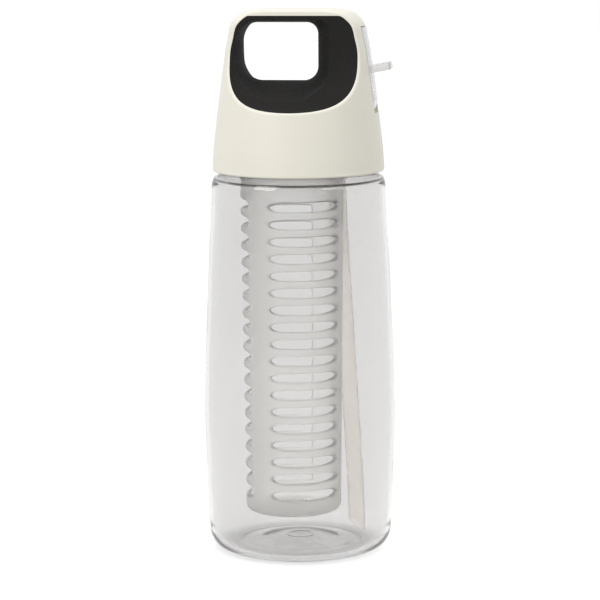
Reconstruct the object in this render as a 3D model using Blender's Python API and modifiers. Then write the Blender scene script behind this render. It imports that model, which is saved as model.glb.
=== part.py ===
"""Round infuser drinking bottle: a clear body, a screw lid with a carrying loop, a flip-out spout with its
duct and straw, and a slotted infuser basket that hangs from the lid.

Metres, +Z up. The origin is on the body's axis where it stands. The spout is on the +X side, the front is -Y.
"""

import math

import bmesh
import bpy
from mathutils import Matrix, Vector

MM = 0.001

# Fits and cutters
GAP = 0.3 * MM  # between two pieces that seat on each other
RUNNING = 0.4 * MM  # around a moving piece
OVERRUN = 1.0 * MM  # a cutter past the face it cuts
MERGE = 0.01 * MM
ROUND_STEPS = 40  # flat sides of a large turned shape
BASKET_STEPS = 24
SMALL_STEPS = 16
FINE_STEPS = 32

# Body
BODY_R = 42.7 * MM
BASE_INSET = 1.8 * MM  # how much narrower the base is than the widest part
SHOULDER_Z = 168.2 * MM
SHOULDER_PAST_LID = 0.4 * MM
SHOULDER_EDGE_R = 2.5 * MM
BODY_WALL = 2.0 * MM
BASE_CORNER_R = 9.0 * MM
BASE_THICK = 3.5 * MM
BASE_RISE = 3.5 * MM  # the pushed-up middle of the base
FOOT_WIDTH = 5.0 * MM  # flat ring that it stands on
DOME_SHARES = (0.75, 0.4, 0.0)  # of the dome's radius
BASE_SHARES = (  # share of SHOULDER_Z, share of the way from the base's radius to BODY_R
    (0.12, 0.33),
    (0.24, 0.67),
    (0.37, 1.0),
)
SIDE_SHARES = (  # share of SHOULDER_Z, share of the way from the shoulder's radius to BODY_R
    (0.53, 0.90),
    (0.67, 0.61),
    (0.80, 0.366),
    (0.975, 0.0),
)

# Neck and thread
NECK_R = 31.6 * MM
NECK_H = 21.8 * MM
NECK_WALL = 2.2 * MM
COLLAR_REACH = 2.4 * MM
COLLAR_H = 3.8 * MM
RIM_ROUND = 0.55 * MM
THREAD_PITCH = 4.0 * MM
THREAD_TURNS = 1.5
THREAD_DEEP = 1.0 * MM
THREAD_BASE = 1.5 * MM
THREAD_TIP = 0.8 * MM
THREAD_ROOT_SINK = 0.5 * MM
THREAD_ABOVE_COLLAR = 4.0 * MM
THREAD_STEPS = 28  # a turn
THREAD_FADE_SHARE = 0.06  # of its length, at each end

# Seal
SEAL_WIDTH = 3.0 * MM
SEAL_THICK = 1.7 * MM

# Insert: the threaded inner cup of the lid
INSERT_WALL = 1.4 * MM
INSERT_FLOOR = 2.5 * MM
INSERT_ABOVE_COLLAR = 1.0 * MM
SNAP_BEAD = 0.5 * MM
SNAP_H = 1.6 * MM
SNAP_LIFT = 7.0 * MM  # above the insert's rim

# Lid shell: a cone that ends in the carrying loop
LID_WALL = 3.5 * MM
LID_ABOVE_SHOULDER = 2.3 * MM
LID_H = 70.9 * MM
LID_EDGE = 0.9 * MM
LID_SHARES = (  # share of LID_H, share of the radius at the rim
    (0.120, 0.987),
    (0.275, 0.9555),
    (0.423, 0.9215),
    (0.574, 0.885),
    (0.684, 0.8547),
    (0.7616, 0.835),
    (0.835, 0.806),
    (0.873, 0.793),
    (0.910, 0.772),
    (0.946, 0.725),
    (0.983, 0.639),
    (1.000, 0.497),
)

# Scoops: an upright flat that runs into a hollow curve, front and back
SCOOP_FLAT = 13.4 * MM
SCOOP_REACH = 29.5 * MM  # how far the curve runs outwards
SCOOP_TURN_DROP = 13.4 * MM  # from the lid's top to where the curve starts
SCOOP_ABOVE_INSERT = 2.5 * MM
SCOOP_STEPS = 10

# Finger hole at the middle plane, and how far it flares towards the scoops
HOLE_LEFT_WALL = 7.3 * MM  # from the cone, half way up the hole
HOLE_RIGHT_WALL = 13.8 * MM  # from the spout's recess
HOLE_TOP_DROP = 5.5 * MM
HOLE_ABOVE_INSERT = 15.5 * MM
HOLE_CORNERS = (5.0 * MM, 7.5 * MM, 9.0 * MM, 6.5 * MM)  # top right, top left, bottom left, bottom right
FLARE_RIGHT = 6.5 * MM
FLARE_LEFT = 1.2 * MM
FLARE_TOP = 1.6 * MM
FLARE_REACH = 26.0 * MM  # where the floor of the hole meets the scoop
FLARE_EASE = 8.0 * MM  # how far the floor stays near level before it slopes
FLARE_CORNER_GROWTH = 7.0 * MM
FLARE_TOP_LEFT_GROWTH = 3.5 * MM
FLARE_SECTIONS = 6
CORNER_STEPS = 4

# Grip lining
GRIP_THICK = 1.6 * MM
GRIP_INSET = 1.0 * MM  # from the cone, so that a lip of the shell frames it
GRIP_TOP_DROP = 2.2 * MM  # the same over the hole

# Infuser basket and the boss that holds it
BASKET_OFFSET = 5.04 * MM
BASKET_ANGLE = math.radians(-119.1)
BASKET_TAPER = 1.65 * MM
BASKET_WALL = 1.7 * MM
BASKET_FLOOR = 1.8 * MM
BASKET_CORNER = 3.0 * MM
BASKET_ABOVE_BASE = 11.0 * MM
BASKET_COLLAR_DROP = 7.2 * MM  # below the body's shoulder
BOSS_LENGTH = 8.0 * MM
BOSS_WALL = 1.6 * MM

# Slots: a wide column in front, one on the left and a taller one behind, each cut straight from its side
SLOT_ROWS = 18
SLOT_H = 4.0 * MM
BACK_SLOT_H = 5.2 * MM
BACK_SLOT_RISE = 1.2 * MM
SLOT_COLUMNS = (  # middle of the column from -Y towards +X, half of its width as an angle, slot height, rise
    (math.radians(24.0), math.radians(43.0), SLOT_H, 0.0),
    (math.radians(-82.5), math.radians(33.5), SLOT_H, 0.0),
    (math.radians(191.5), math.radians(28.0), BACK_SLOT_H, BACK_SLOT_RISE),
)
SLOT_ABOVE_FOOT = 9.9 * MM
SLOT_BELOW_COLLAR = 4.4 * MM
SLOT_END_STEPS = 2
DRAIN_HOLES = 6
DRAIN_R = 2.2 * MM
DRAIN_RING_R = 11.0 * MM

# Straw and its nipple
STRAW_R = 3.85 * MM
STRAW_WALL = 0.6 * MM
STRAW_TOP_ANGLE = math.radians(45.6)
STRAW_OFF_BORE = 3.15 * MM  # from the neck's bore
STRAW_OFF_BASKET = 0.57 * MM  # from the basket's collar
STRAW_FOOT_ANGLE = math.radians(24.4)  # about the basket's axis
STRAW_FOOT_OFF_BASKET = 5.0 * MM
STRAW_FOOT_Z = 6.0 * MM
STRAW_SLANT = math.radians(34.0)
STRAW_SIDES = 16
NIPPLE_LENGTH = 9.0 * MM
NIPPLE_BORE_R = 1.9 * MM
STRAW_BEND_SHARES = (  # share of the way down, share of the way across
    (0.00, 0.00),
    (0.13, 0.04),
    (0.25, 0.13),
    (0.39, 0.30),
    (0.53, 0.48),
    (0.77, 0.79),
    (0.89, 0.93),
    (1.00, 1.00),
)

# Spout: a plate with a bore, a barrel at its foot that turns on two stubs, and a thumb tab
SPOUT_WIDTH = 15.0 * MM
SPOUT_THICK = 6.4 * MM
SPOUT_PROUD = 0.2 * MM
SPOUT_DROP = 7.4 * MM  # from the lid's top to the spout's mouth
SPOUT_BORE_R = 1.5 * MM
SPOUT_OPEN = math.radians(70.0)
BARREL_R = 3.4 * MM
BARREL_SINK = 0.91 * MM  # below the cone
PIVOT_ABOVE_INSERT = 4.8 * MM
STUB_R = 1.6 * MM
STUB_LENGTH = 1.8 * MM
TAB_UP_SHARE = 0.46  # of the way from the pivot to the mouth
TAB_REACH = 8.2 * MM
TAB_THICK = 3.1 * MM
TAB_WIDTH = 13.0 * MM
TAB_RISE = math.radians(10.5)
TAB_ROUND = 1.2 * MM

# Seat that the barrel turns against
SEAT_HALF_WIDTH = 5.0 * MM
SEAT_HALF_HEIGHT = 2.8 * MM
SEAT_SHORT_OF_PIVOT = 2.8 * MM
SEAT_LENGTH = 6.1 * MM

# Duct over the insert's floor
DUCT_HALF_WIDTH = 3.0 * MM
DUCT_WALL = 1.5 * MM
DUCT_ROOF = 1.0 * MM

# Room inside the lid over the insert's floor
ROOM_LOW_WALL = 3.7 * MM
ROOM_LOW_H = 1.8 * MM
ROOM_LEFT = -20.0 * MM
ROOM_FRONT = -14.0 * MM

# Air vent
VENT_ANGLE = math.radians(130.0)
VENT_OFF_BORE = 1.8 * MM
VENT_HEAD_R = 2.8 * MM
VENT_HEAD_H = 1.1 * MM
VENT_STEM_R = 0.9 * MM
VENT_KNOB_R = 1.5 * MM
VENT_KNOB_H = 1.2 * MM


def around(centre, radius, angle):
    """The point (x, y) at a distance and angle from a centre."""
    return (centre[0] + radius * math.cos(angle), centre[1] + radius * math.sin(angle))


def lid_radius(z):
    """Radius of the lid's outside at a height."""
    points = [(0.0, 1.0)] + list(LID_SHARES)
    share = (z - LID_BOTTOM_Z) / LID_H
    for (low, low_r), (high, high_r) in zip(points, points[1:]):
        if share <= high:
            return LID_R * (low_r + (high_r - low_r) * (share - low) / (high - low))
    return LID_R * points[-1][1]


# Worked out from the sizes above: body, insert and lid
AXIS = (0.0, 0.0)
BASE_R = BODY_R - BASE_INSET
COLLAR_R = NECK_R + COLLAR_REACH
COLLAR_TOP_Z = SHOULDER_Z + COLLAR_H
NECK_TOP_Z = SHOULDER_Z + NECK_H
NECK_BORE_R = NECK_R - NECK_WALL
THREAD_Z = COLLAR_TOP_Z + THREAD_ABOVE_COLLAR
SEAL_Z = NECK_TOP_Z + GAP
INSERT_CEILING_Z = SEAL_Z + SEAL_THICK + GAP
INSERT_TOP_Z = INSERT_CEILING_Z + INSERT_FLOOR
INSERT_BOTTOM_Z = COLLAR_TOP_Z + INSERT_ABOVE_COLLAR
INSERT_BORE_R = NECK_R + THREAD_DEEP + RUNNING
INSERT_R = INSERT_BORE_R + INSERT_WALL
SNAP_Z = INSERT_BOTTOM_Z + SNAP_LIFT
LID_BORE_R = INSERT_R + GAP
LID_R = LID_BORE_R + LID_WALL
LID_BOTTOM_Z = SHOULDER_Z + LID_ABOVE_SHOULDER
LID_TOP_Z = LID_BOTTOM_Z + LID_H
SHOULDER_R = LID_R + SHOULDER_PAST_LID

# Worked out: spout, seat, duct and the room for them
PIVOT_Z = INSERT_TOP_Z + PIVOT_ABOVE_INSERT
PIVOT_X = lid_radius(PIVOT_Z) - BARREL_R - BARREL_SINK
SPOUT_TOP_Z = LID_TOP_Z - SPOUT_DROP
SPOUT_SKIN_Z = PIVOT_Z + BARREL_R
MOUTH_R = SPOUT_TOP_Z - PIVOT_Z
TAB_Z = PIVOT_Z + TAB_UP_SHARE * MOUTH_R
TAB_TIP_X = lid_radius(TAB_Z) + TAB_REACH
SEAT_BARREL_X = PIVOT_X - SEAT_SHORT_OF_PIVOT
SEAT_DUCT_X = SEAT_BARREL_X - SEAT_LENGTH
DUCT_HALF_OUTSIDE = DUCT_HALF_WIDTH + DUCT_WALL
DUCT_END = (SEAT_DUCT_X - GAP - DUCT_HALF_OUTSIDE, 0.0)
DUCT_Z = INSERT_TOP_Z + GAP
DUCT_TOP_Z = PIVOT_Z + SPOUT_BORE_R + DUCT_ROOF

# Worked out: straw, basket and vent
STRAW_TOP = around(AXIS, NECK_BORE_R - STRAW_R - STRAW_OFF_BORE, STRAW_TOP_ANGLE)
STRAW_TOP_Z = INSERT_CEILING_Z - GAP
NIPPLE_R = STRAW_R - STRAW_WALL - GAP
BASKET = around(AXIS, BASKET_OFFSET, BASKET_ANGLE)
BASKET_TOP_R = math.dist(BASKET, STRAW_TOP) - STRAW_R - STRAW_OFF_BASKET
BASKET_FOOT_R = BASKET_TOP_R - BASKET_TAPER
BASKET_BORE_R = BASKET_TOP_R - BASKET_WALL
BASKET_FOOT_Z = BASE_THICK + BASE_RISE + BASKET_ABOVE_BASE
BASKET_COLLAR_Z = SHOULDER_Z - BASKET_COLLAR_DROP
BASKET_TOP_Z = INSERT_CEILING_Z - GAP
SLOT_FIRST_Z = BASKET_FOOT_Z + SLOT_ABOVE_FOOT
SLOT_PITCH = (BASKET_COLLAR_Z - SLOT_BELOW_COLLAR - SLOT_FIRST_Z) / (SLOT_ROWS - 1)
STRAW_FOOT = around(BASKET, BASKET_FOOT_R + STRAW_R + STRAW_FOOT_OFF_BASKET, STRAW_FOOT_ANGLE)
VENT = around(AXIS, NECK_BORE_R - VENT_HEAD_R - VENT_OFF_BORE, VENT_ANGLE)

# Worked out: the lid's hollows
SCOOP_TURN_Z = LID_TOP_Z - SCOOP_TURN_DROP
SCOOP_H = SCOOP_TURN_Z - INSERT_TOP_Z - SCOOP_ABOVE_INSERT
SCOOP_AXIS_Y = SCOOP_FLAT + SCOOP_REACH
HOLE_TOP = LID_TOP_Z - HOLE_TOP_DROP
HOLE_BOTTOM = INSERT_TOP_Z + HOLE_ABOVE_INSERT
HOLE_LEFT = HOLE_LEFT_WALL - lid_radius((HOLE_TOP + HOLE_BOTTOM) / 2)
HOLE_RIGHT = lid_radius(SPOUT_TOP_Z) - SPOUT_THICK - RUNNING - HOLE_RIGHT_WALL
FLARE_FLOOR_Z = SCOOP_TURN_Z - SCOOP_H * math.sqrt(1.0 - ((SCOOP_AXIS_Y - FLARE_REACH) / SCOOP_REACH) ** 2)
FLARE_BOTTOM = HOLE_BOTTOM - FLARE_FLOOR_Z
ROOM_LOW_R = LID_BORE_R - ROOM_LOW_WALL
ROOM_RIGHT = SEAT_DUCT_X + GAP / 2
ROOM_TOP_Z = DUCT_TOP_Z + GAP
ROOM_BACK = STRAW_TOP[1] + DUCT_HALF_OUTSIDE + GAP


def start_clean():
    for old in list(bpy.data.objects):
        bpy.data.objects.remove(old, do_unlink=True)


def new_collection(name):
    made = bpy.data.collections.new(name)
    bpy.context.scene.collection.children.link(made)
    return made


def material(name, colour, roughness, metallic=0.0, alpha=1.0):
    made = bpy.data.materials.new(name)
    made.use_nodes = True
    shader = made.node_tree.nodes["Principled BSDF"]
    shader.inputs["Base Color"].default_value = (*colour, 1.0)
    shader.inputs["Roughness"].default_value = roughness
    shader.inputs["Metallic"].default_value = metallic
    shader.inputs["Alpha"].default_value = alpha
    return made


# Mesh helpers


def add_object(name, shape, collection):
    """The bmesh as an object, with its faces turned outwards where it has any."""
    if shape.faces:
        bmesh.ops.recalc_face_normals(shape, faces=shape.faces)
    mesh = bpy.data.meshes.new(name)
    shape.to_mesh(mesh)
    shape.free()
    made = bpy.data.objects.new(name, mesh)
    collection.objects.link(made)
    if collection == CUTTERS:
        made.hide_render = True
        made.display_type = "WIRE"
    return made


def turned(name, outline, collection, steps=ROUND_STEPS, closed=False, centre=AXIS):
    """A shape turned about an upright axis: (radius, z) points that run down the outer side."""
    shape = bmesh.new()
    points = [shape.verts.new((radius, 0.0, z)) for radius, z in outline]
    for first, second in zip(points, points[1:]):
        shape.edges.new((first, second))
    if closed:
        shape.edges.new((points[-1], points[0]))
    made = add_object(name, shape, collection)
    made.location = (centre[0], centre[1], 0.0)
    screw = made.modifiers.new("turn", "SCREW")
    screw.axis = "Z"
    screw.steps = screw.render_steps = steps
    screw.use_merge_vertices = True
    screw.merge_threshold = MERGE
    screw.use_smooth_shade = True
    return made


def add_box(shape, low, high):
    size = Vector(high) - Vector(low)
    place = Matrix.Translation((Vector(low) + Vector(high)) / 2) @ Matrix.Diagonal((*size, 1.0))
    bmesh.ops.create_cube(shape, size=1.0, matrix=place)


def box(name, low, high, collection):
    shape = bmesh.new()
    add_box(shape, low, high)
    return add_object(name, shape, collection)


def rod(name, start, end, radius, collection, steps=SMALL_STEPS):
    """A round bar between two points."""
    way = Vector(end) - Vector(start)
    turn = way.to_track_quat("Z", "Y").to_matrix().to_4x4()
    shape = bmesh.new()
    bmesh.ops.create_cone(
        shape,
        cap_ends=True,
        segments=steps,
        radius1=radius,
        radius2=radius,
        depth=way.length,
        matrix=Matrix.Translation((Vector(start) + Vector(end)) / 2) @ turn,
    )
    return add_object(name, shape, collection)


def add_prism(shape, outline, along):
    """The closed outline of 3D points, extruded by the vector."""
    face = shape.faces.new([shape.verts.new(point) for point in outline])
    grown = bmesh.ops.extrude_face_region(shape, geom=[face])
    moved = [item for item in grown["geom"] if isinstance(item, bmesh.types.BMVert)]
    bmesh.ops.translate(shape, verts=moved, vec=along)


def prism(name, outline, along, collection):
    shape = bmesh.new()
    add_prism(shape, outline, along)
    return add_object(name, shape, collection)


def boolean(target, tool, operation):
    step = target.modifiers.new(tool.name, "BOOLEAN")
    step.operation = operation
    step.solver = "EXACT"
    step.object = tool
    return target


def cut(target, *tools):
    for tool in tools:
        boolean(target, tool, "DIFFERENCE")


def join(target, *tools):
    for tool in tools:
        boolean(target, tool, "UNION")


def keep_inside(target, tool):
    boolean(target, tool, "INTERSECT")


def arc(centre, radius, start, end, steps):
    """Points (across, up) on an arc, from one angle to the other."""
    angles = [start + (end - start) * step / steps for step in range(steps + 1)]
    return [(centre[0] + radius * math.cos(a), centre[1] + radius * math.sin(a)) for a in angles]


def stadium(start, end, radius, steps):
    """A flat outline with round ends about two centres."""
    heading = math.atan2(end[1] - start[1], end[0] - start[0])
    quarter = math.pi / 2
    first = arc(end, radius, heading - quarter, heading + quarter, steps)
    second = arc(start, radius, heading + quarter, heading + 3 * quarter, steps)
    return first + second


def finish(piece, finish_material, sharp_angle=math.radians(35.0)):
    piece.data.materials.clear()
    piece.data.materials.append(finish_material)
    if piece.data.polygons:
        piece.data.shade_smooth()
        piece.data.set_sharp_from_angle(angle=sharp_angle)


# Thread


def ridge(name, root_r, tip_r, start_z, collection):
    """A thread ridge that stands from its root towards its tip and fades out at both ends."""
    outwards = 1.0 if tip_r > root_r else -1.0
    count = round(THREAD_STEPS * THREAD_TURNS)
    buried_r = root_r - outwards * THREAD_ROOT_SINK
    shape = bmesh.new()
    rings = []
    for step in range(count + 1):
        share = step / count
        full = min(1.0, share / THREAD_FADE_SHARE, (1.0 - share) / THREAD_FADE_SHARE)
        reach = buried_r + (tip_r - buried_r) * max(full, THREAD_FADE_SHARE)
        angle = 2 * math.pi * THREAD_TURNS * share
        z = start_z + THREAD_PITCH * THREAD_TURNS * share
        section = (
            (buried_r, z - THREAD_BASE / 2),
            (reach, z - THREAD_TIP / 2),
            (reach, z + THREAD_TIP / 2),
            (buried_r, z + THREAD_BASE / 2),
        )
        rings.append([shape.verts.new((r * math.cos(angle), r * math.sin(angle), h)) for r, h in section])
    for ring, after in zip(rings, rings[1:]):
        for corner in range(4):
            other = (corner + 1) % 4
            shape.faces.new((ring[corner], ring[other], after[other], after[corner]))
    shape.faces.new(rings[0])
    shape.faces.new(rings[-1])
    return add_object(name, shape, collection)


# Body


def body_outside():
    corner = arc((BASE_R - BASE_CORNER_R, BASE_CORNER_R), BASE_CORNER_R, 0.0, -math.pi / 2, 5)
    side = [(BASE_R + (BODY_R - BASE_R) * across, SHOULDER_Z * up) for up, across in BASE_SHARES]
    side += [(SHOULDER_R + (BODY_R - SHOULDER_R) * across, SHOULDER_Z * up) for up, across in SIDE_SHARES]
    shoulder_x = SHOULDER_R - SHOULDER_EDGE_R
    shoulder = arc((shoulder_x, SHOULDER_Z - SHOULDER_EDGE_R), SHOULDER_EDGE_R, math.pi / 2, math.pi / 8, 3)
    return shoulder, side[::-1], corner


def body_profile():
    shoulder, side, corner = body_outside()
    neck = [
        (NECK_BORE_R + RIM_ROUND, NECK_TOP_Z),
        (NECK_R - RIM_ROUND, NECK_TOP_Z),
        (NECK_R, NECK_TOP_Z - RIM_ROUND),
        (NECK_R, COLLAR_TOP_Z),
        (COLLAR_R - RIM_ROUND, COLLAR_TOP_Z),
        (COLLAR_R, COLLAR_TOP_Z - RIM_ROUND),
        (COLLAR_R, SHOULDER_Z),
    ]
    rise_r = corner[-1][0] - FOOT_WIDTH
    foot = [(rise_r, 0.0)]
    dome = [(rise_r * share, BASE_RISE * (1.0 - share**2)) for share in DOME_SHARES]
    inner_dome = [(r, z + BASE_THICK) for r, z in reversed(dome)]
    corner_centre = (BASE_R - BASE_CORNER_R, BASE_CORNER_R)
    floor_corner = arc(corner_centre, BASE_CORNER_R - BODY_WALL, -math.pi / 2, 0.0, 4)
    floor_corner = [(r, max(z, BASE_THICK)) for r, z in floor_corner]
    inner_side = [(r - BODY_WALL, z) for r, z in side[:0:-1]]
    under_shoulder = SHOULDER_Z - SHOULDER_EDGE_R - BODY_WALL
    inner_shoulder = [(side[0][0] - BODY_WALL, under_shoulder), (NECK_BORE_R, SHOULDER_Z - BODY_WALL)]
    inner_rim = [(NECK_BORE_R, NECK_TOP_Z - RIM_ROUND)]
    outside = neck + shoulder + side + corner + foot + dome
    return outside + inner_dome + floor_corner + inner_side + inner_shoulder + inner_rim


def make_body():
    outline = body_profile()
    axis_points = [index for index, (radius, _) in enumerate(outline) if radius == 0.0]
    # The outline passes the axis twice, so it is drawn as one open line from axis to axis.
    outline = outline[axis_points[1]:] + outline[: axis_points[0] + 1]
    body = turned("bottle_body", outline, PARTS)
    thread = ridge("neck_thread", NECK_R, NECK_R + THREAD_DEEP, THREAD_Z, CUTTERS)
    join(body, thread)
    finish(body, material("clear plastic", (0.83, 0.83, 0.83), 0.05, alpha=0.3))


def make_seal():
    inner_r = NECK_BORE_R + GAP
    outer_r = inner_r + SEAL_WIDTH
    outline = (
        (outer_r, SEAL_Z + SEAL_THICK),
        (outer_r, SEAL_Z),
        (inner_r, SEAL_Z),
        (inner_r, SEAL_Z + SEAL_THICK),
    )
    seal = turned("seal_ring", outline, PARTS, closed=True)
    finish(seal, material("clear silicone", (0.75, 0.75, 0.74), 0.5))


# Lid shell


def lid_profile(inset=0.0, low=LID_BOTTOM_Z):
    """Points of the lid's outside, or of a skin this far inside it, from its top down to a flat underside."""
    outside = [(LID_R * across, LID_BOTTOM_Z + LID_H * up) for up, across in LID_SHARES]
    outside = [(LID_R, LID_BOTTOM_Z)] + outside + [(0.0, LID_TOP_Z)]
    skin = []
    for before, here, after in zip(outside, outside[1:], outside[2:]):
        way = Vector((after[0] - before[0], after[1] - before[1])).normalized()
        skin.append((here[0] - way.y * inset, here[1] + way.x * inset))
    sides = [(radius, z) for radius, z in skin if z > low + LID_EDGE]
    edge_r = lid_radius(low + LID_EDGE) - inset
    edge = [(edge_r, low + LID_EDGE), (edge_r - LID_EDGE, low), (0.0, low)]
    return [(0.0, LID_TOP_Z - inset)] + sides[::-1] + edge


def scoop_prism(name, side, depth):
    """What lies outside a scoop, cut this much deeper than its visible face. side is -1 in front, 1 behind."""
    reach = SCOOP_REACH + depth
    drop = SCOOP_H + depth
    above = LID_TOP_Z + OVERRUN
    outer_y = max(SCOOP_AXIS_Y, LID_R) + OVERRUN
    turn = [math.pi / 2 * step / SCOOP_STEPS for step in range(SCOOP_STEPS + 1)]
    curve = [(SCOOP_AXIS_Y - reach * math.cos(a), SCOOP_TURN_Z - drop * math.sin(a)) for a in turn]
    outline = [(SCOOP_AXIS_Y - reach, above)] + curve + [(outer_y, SCOOP_TURN_Z - drop), (outer_y, above)]
    half = LID_R + OVERRUN
    points = [(-half, side * y, z) for y, z in outline]
    return prism(name, points, (2 * half, 0.0, 0.0), CUTTERS)


def hole_section(y, spread):
    """The finger hole's outline at a distance from the middle plane, widened by spread."""
    near = min(1.0, abs(y) / SCOOP_FLAT) ** 2
    far = (math.hypot(1.0, y / FLARE_EASE) - 1.0) / (math.hypot(1.0, FLARE_REACH / FLARE_EASE) - 1.0)
    right = HOLE_RIGHT + FLARE_RIGHT * near + spread
    left = HOLE_LEFT - FLARE_LEFT * near - spread
    top = HOLE_TOP + FLARE_TOP * near + spread
    bottom = HOLE_BOTTOM - FLARE_BOTTOM * far - spread
    top_right, top_left, low_left, low_right = HOLE_CORNERS
    low_left += FLARE_CORNER_GROWTH * far + spread
    low_right += FLARE_CORNER_GROWTH * far + spread
    top_right += spread
    top_left += FLARE_TOP_LEFT_GROWTH * near + spread
    quarter = math.pi / 2
    corners = (
        (right - top_right, top - top_right, top_right, 0.0),
        (left + top_left, top - top_left, top_left, quarter),
        (left + low_left, bottom + low_left, low_left, 2 * quarter),
        (right - low_right, bottom + low_right, low_right, 3 * quarter),
    )
    points = []
    for x, z, radius, start in corners:
        points += arc((x, z), radius, start, start + quarter, CORNER_STEPS)
    return points


def hole_loft(name, spread):
    """The flared finger hole as a solid, through both scoops."""
    reach = FLARE_REACH + 2 * OVERRUN
    shape = bmesh.new()
    rings = []
    for step in range(-FLARE_SECTIONS, FLARE_SECTIONS + 1):
        y = reach * step / FLARE_SECTIONS
        rings.append([shape.verts.new((x, y, z)) for x, z in hole_section(y, spread)])
    for ring, after in zip(rings, rings[1:]):
        for index in range(len(ring)):
            other = (index + 1) % len(ring)
            shape.faces.new((ring[index], ring[other], after[other], after[index]))
    shape.faces.new(rings[0])
    shape.faces.new(rings[-1])
    return add_object(name, shape, CUTTERS)


def grip_top_r(high, grown):
    """Radius at which the lining's outer face meets its flat top."""
    outline = lid_profile(GRIP_INSET - grown)
    for (upper_r, upper), (lower_r, lower) in zip(outline, outline[1:]):
        if lower < high <= upper:
            return upper_r + (lower_r - upper_r) * (upper - high) / (upper - lower)
    return outline[0][0]


def grip_solid(name, grown, collection):
    """The lining before its visible faces are cut, or the pocket for it where grown is a gap."""
    depth = GRIP_THICK + grown
    low = SCOOP_TURN_Z - SCOOP_H - depth - OVERRUN
    high = LID_TOP_Z - GRIP_TOP_DROP + grown
    outline = lid_profile(GRIP_INSET - grown, low)
    below = [point for point in outline if point[1] < high]
    solid = turned(name, [(0.0, high), (grip_top_r(high, grown), high)] + below, collection)
    core = turned(name + "_core", lid_profile(-OVERRUN), CUTTERS)
    cut(core, scoop_prism(name + "_front", -1, depth), scoop_prism(name + "_back", 1, depth))
    cut(core, hole_loft(name + "_hole", depth))
    cut(solid, core)
    return solid


def spout_side(depth, mouth_r, outside):
    """Side view of the spout's plate: over its mouth, which is round about the pivot, and down its back."""
    back_x = lid_radius(SPOUT_TOP_Z) - depth
    first = math.acos((outside - PIVOT_X) / mouth_r)
    last = math.acos((back_x - PIVOT_X) / mouth_r)
    mouth = arc((PIVOT_X, PIVOT_Z), mouth_r, first, last, 6)
    top = mouth[-1][1]
    rows = [SPOUT_SKIN_Z + (top - SPOUT_SKIN_Z) * step / 4 for step in range(4)]
    return mouth + [(lid_radius(z) - depth, z) for z in rows[::-1]]


def recess_solid():
    """Room for the spout: its plate and barrel with a running gap, open to the outside."""
    half = SPOUT_WIDTH / 2 + GAP
    depth = SPOUT_THICK + RUNNING
    outside = LID_R + OVERRUN
    under = arc((PIVOT_X, PIVOT_Z), BARREL_R + GAP, math.pi, 1.5 * math.pi, 6)
    outline = [(outside, under[-1][1])] + spout_side(depth, MOUTH_R + RUNNING, outside) + under
    points = [(x, -half, z) for x, z in outline]
    return prism("spout_recess", points, (0.0, 2 * half, 0.0), CUTTERS)


def make_shell():
    shell = turned("lid_shell", lid_profile(), PARTS)
    bore = [
        (0.0, INSERT_TOP_Z + GAP),
        (LID_BORE_R, INSERT_TOP_Z + GAP),
        (LID_BORE_R, SNAP_Z + SNAP_H / 2 + GAP + SNAP_BEAD),
        (LID_BORE_R + SNAP_BEAD, SNAP_Z + SNAP_H / 2 + GAP),
        (LID_BORE_R + SNAP_BEAD, SNAP_Z - SNAP_H / 2 - GAP),
        (LID_BORE_R, SNAP_Z - SNAP_H / 2 - GAP - SNAP_BEAD),
        (LID_BORE_R, LID_BOTTOM_Z - OVERRUN),
        (0.0, LID_BOTTOM_Z - OVERRUN),
    ]
    low_room = [
        (0.0, INSERT_TOP_Z + GAP + ROOM_LOW_H),
        (ROOM_LOW_R, INSERT_TOP_Z + GAP + ROOM_LOW_H),
        (ROOM_LOW_R, INSERT_TOP_Z),
        (0.0, INSERT_TOP_Z),
    ]
    low_room_cutter = turned("low_room", low_room, CUTTERS)
    half = SEAT_HALF_WIDTH + GAP
    spout_block = box(
        "spout_block",
        (ROOM_RIGHT, -SPOUT_WIDTH, INSERT_TOP_Z - OVERRUN),
        (LID_R, SPOUT_WIDTH, ROOM_TOP_Z + OVERRUN),
        CUTTERS,
    )
    cut(low_room_cutter, spout_block)
    room = box("room", (ROOM_LEFT, ROOM_FRONT, INSERT_TOP_Z), (ROOM_RIGHT, ROOM_BACK, ROOM_TOP_Z), CUTTERS)
    seat_pocket = box(
        "seat_pocket",
        (ROOM_RIGHT - OVERRUN, -half, PIVOT_Z - SEAT_HALF_HEIGHT - GAP),
        (PIVOT_X, half, PIVOT_Z + SEAT_HALF_HEIGHT + GAP),
        CUTTERS,
    )
    socket_y = SPOUT_WIDTH / 2 + STUB_LENGTH + GAP
    sockets = rod(
        "stub_sockets",
        (PIVOT_X, -socket_y, PIVOT_Z),
        (PIVOT_X, socket_y, PIVOT_Z),
        STUB_R + GAP,
        CUTTERS,
    )
    cut(shell, scoop_prism("scoop_front", -1, 0.0), scoop_prism("scoop_back", 1, 0.0))
    cut(shell, grip_solid("grip_pocket", GAP, CUTTERS))
    cut(shell, turned("lid_bore", bore, CUTTERS), low_room_cutter, room)
    cut(shell, recess_solid(), seat_pocket, sockets)
    finish(shell, material("cream plastic", (0.78, 0.76, 0.68), 0.35))


def make_grip():
    grip = grip_solid("handle_grip", 0.0, PARTS)
    cut(grip, bpy.data.objects["scoop_front"], bpy.data.objects["scoop_back"], hole_loft("finger_hole", 0.0))
    finish(grip, material("black soft plastic", (0.02, 0.02, 0.02), 0.6))


# Insert


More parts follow.
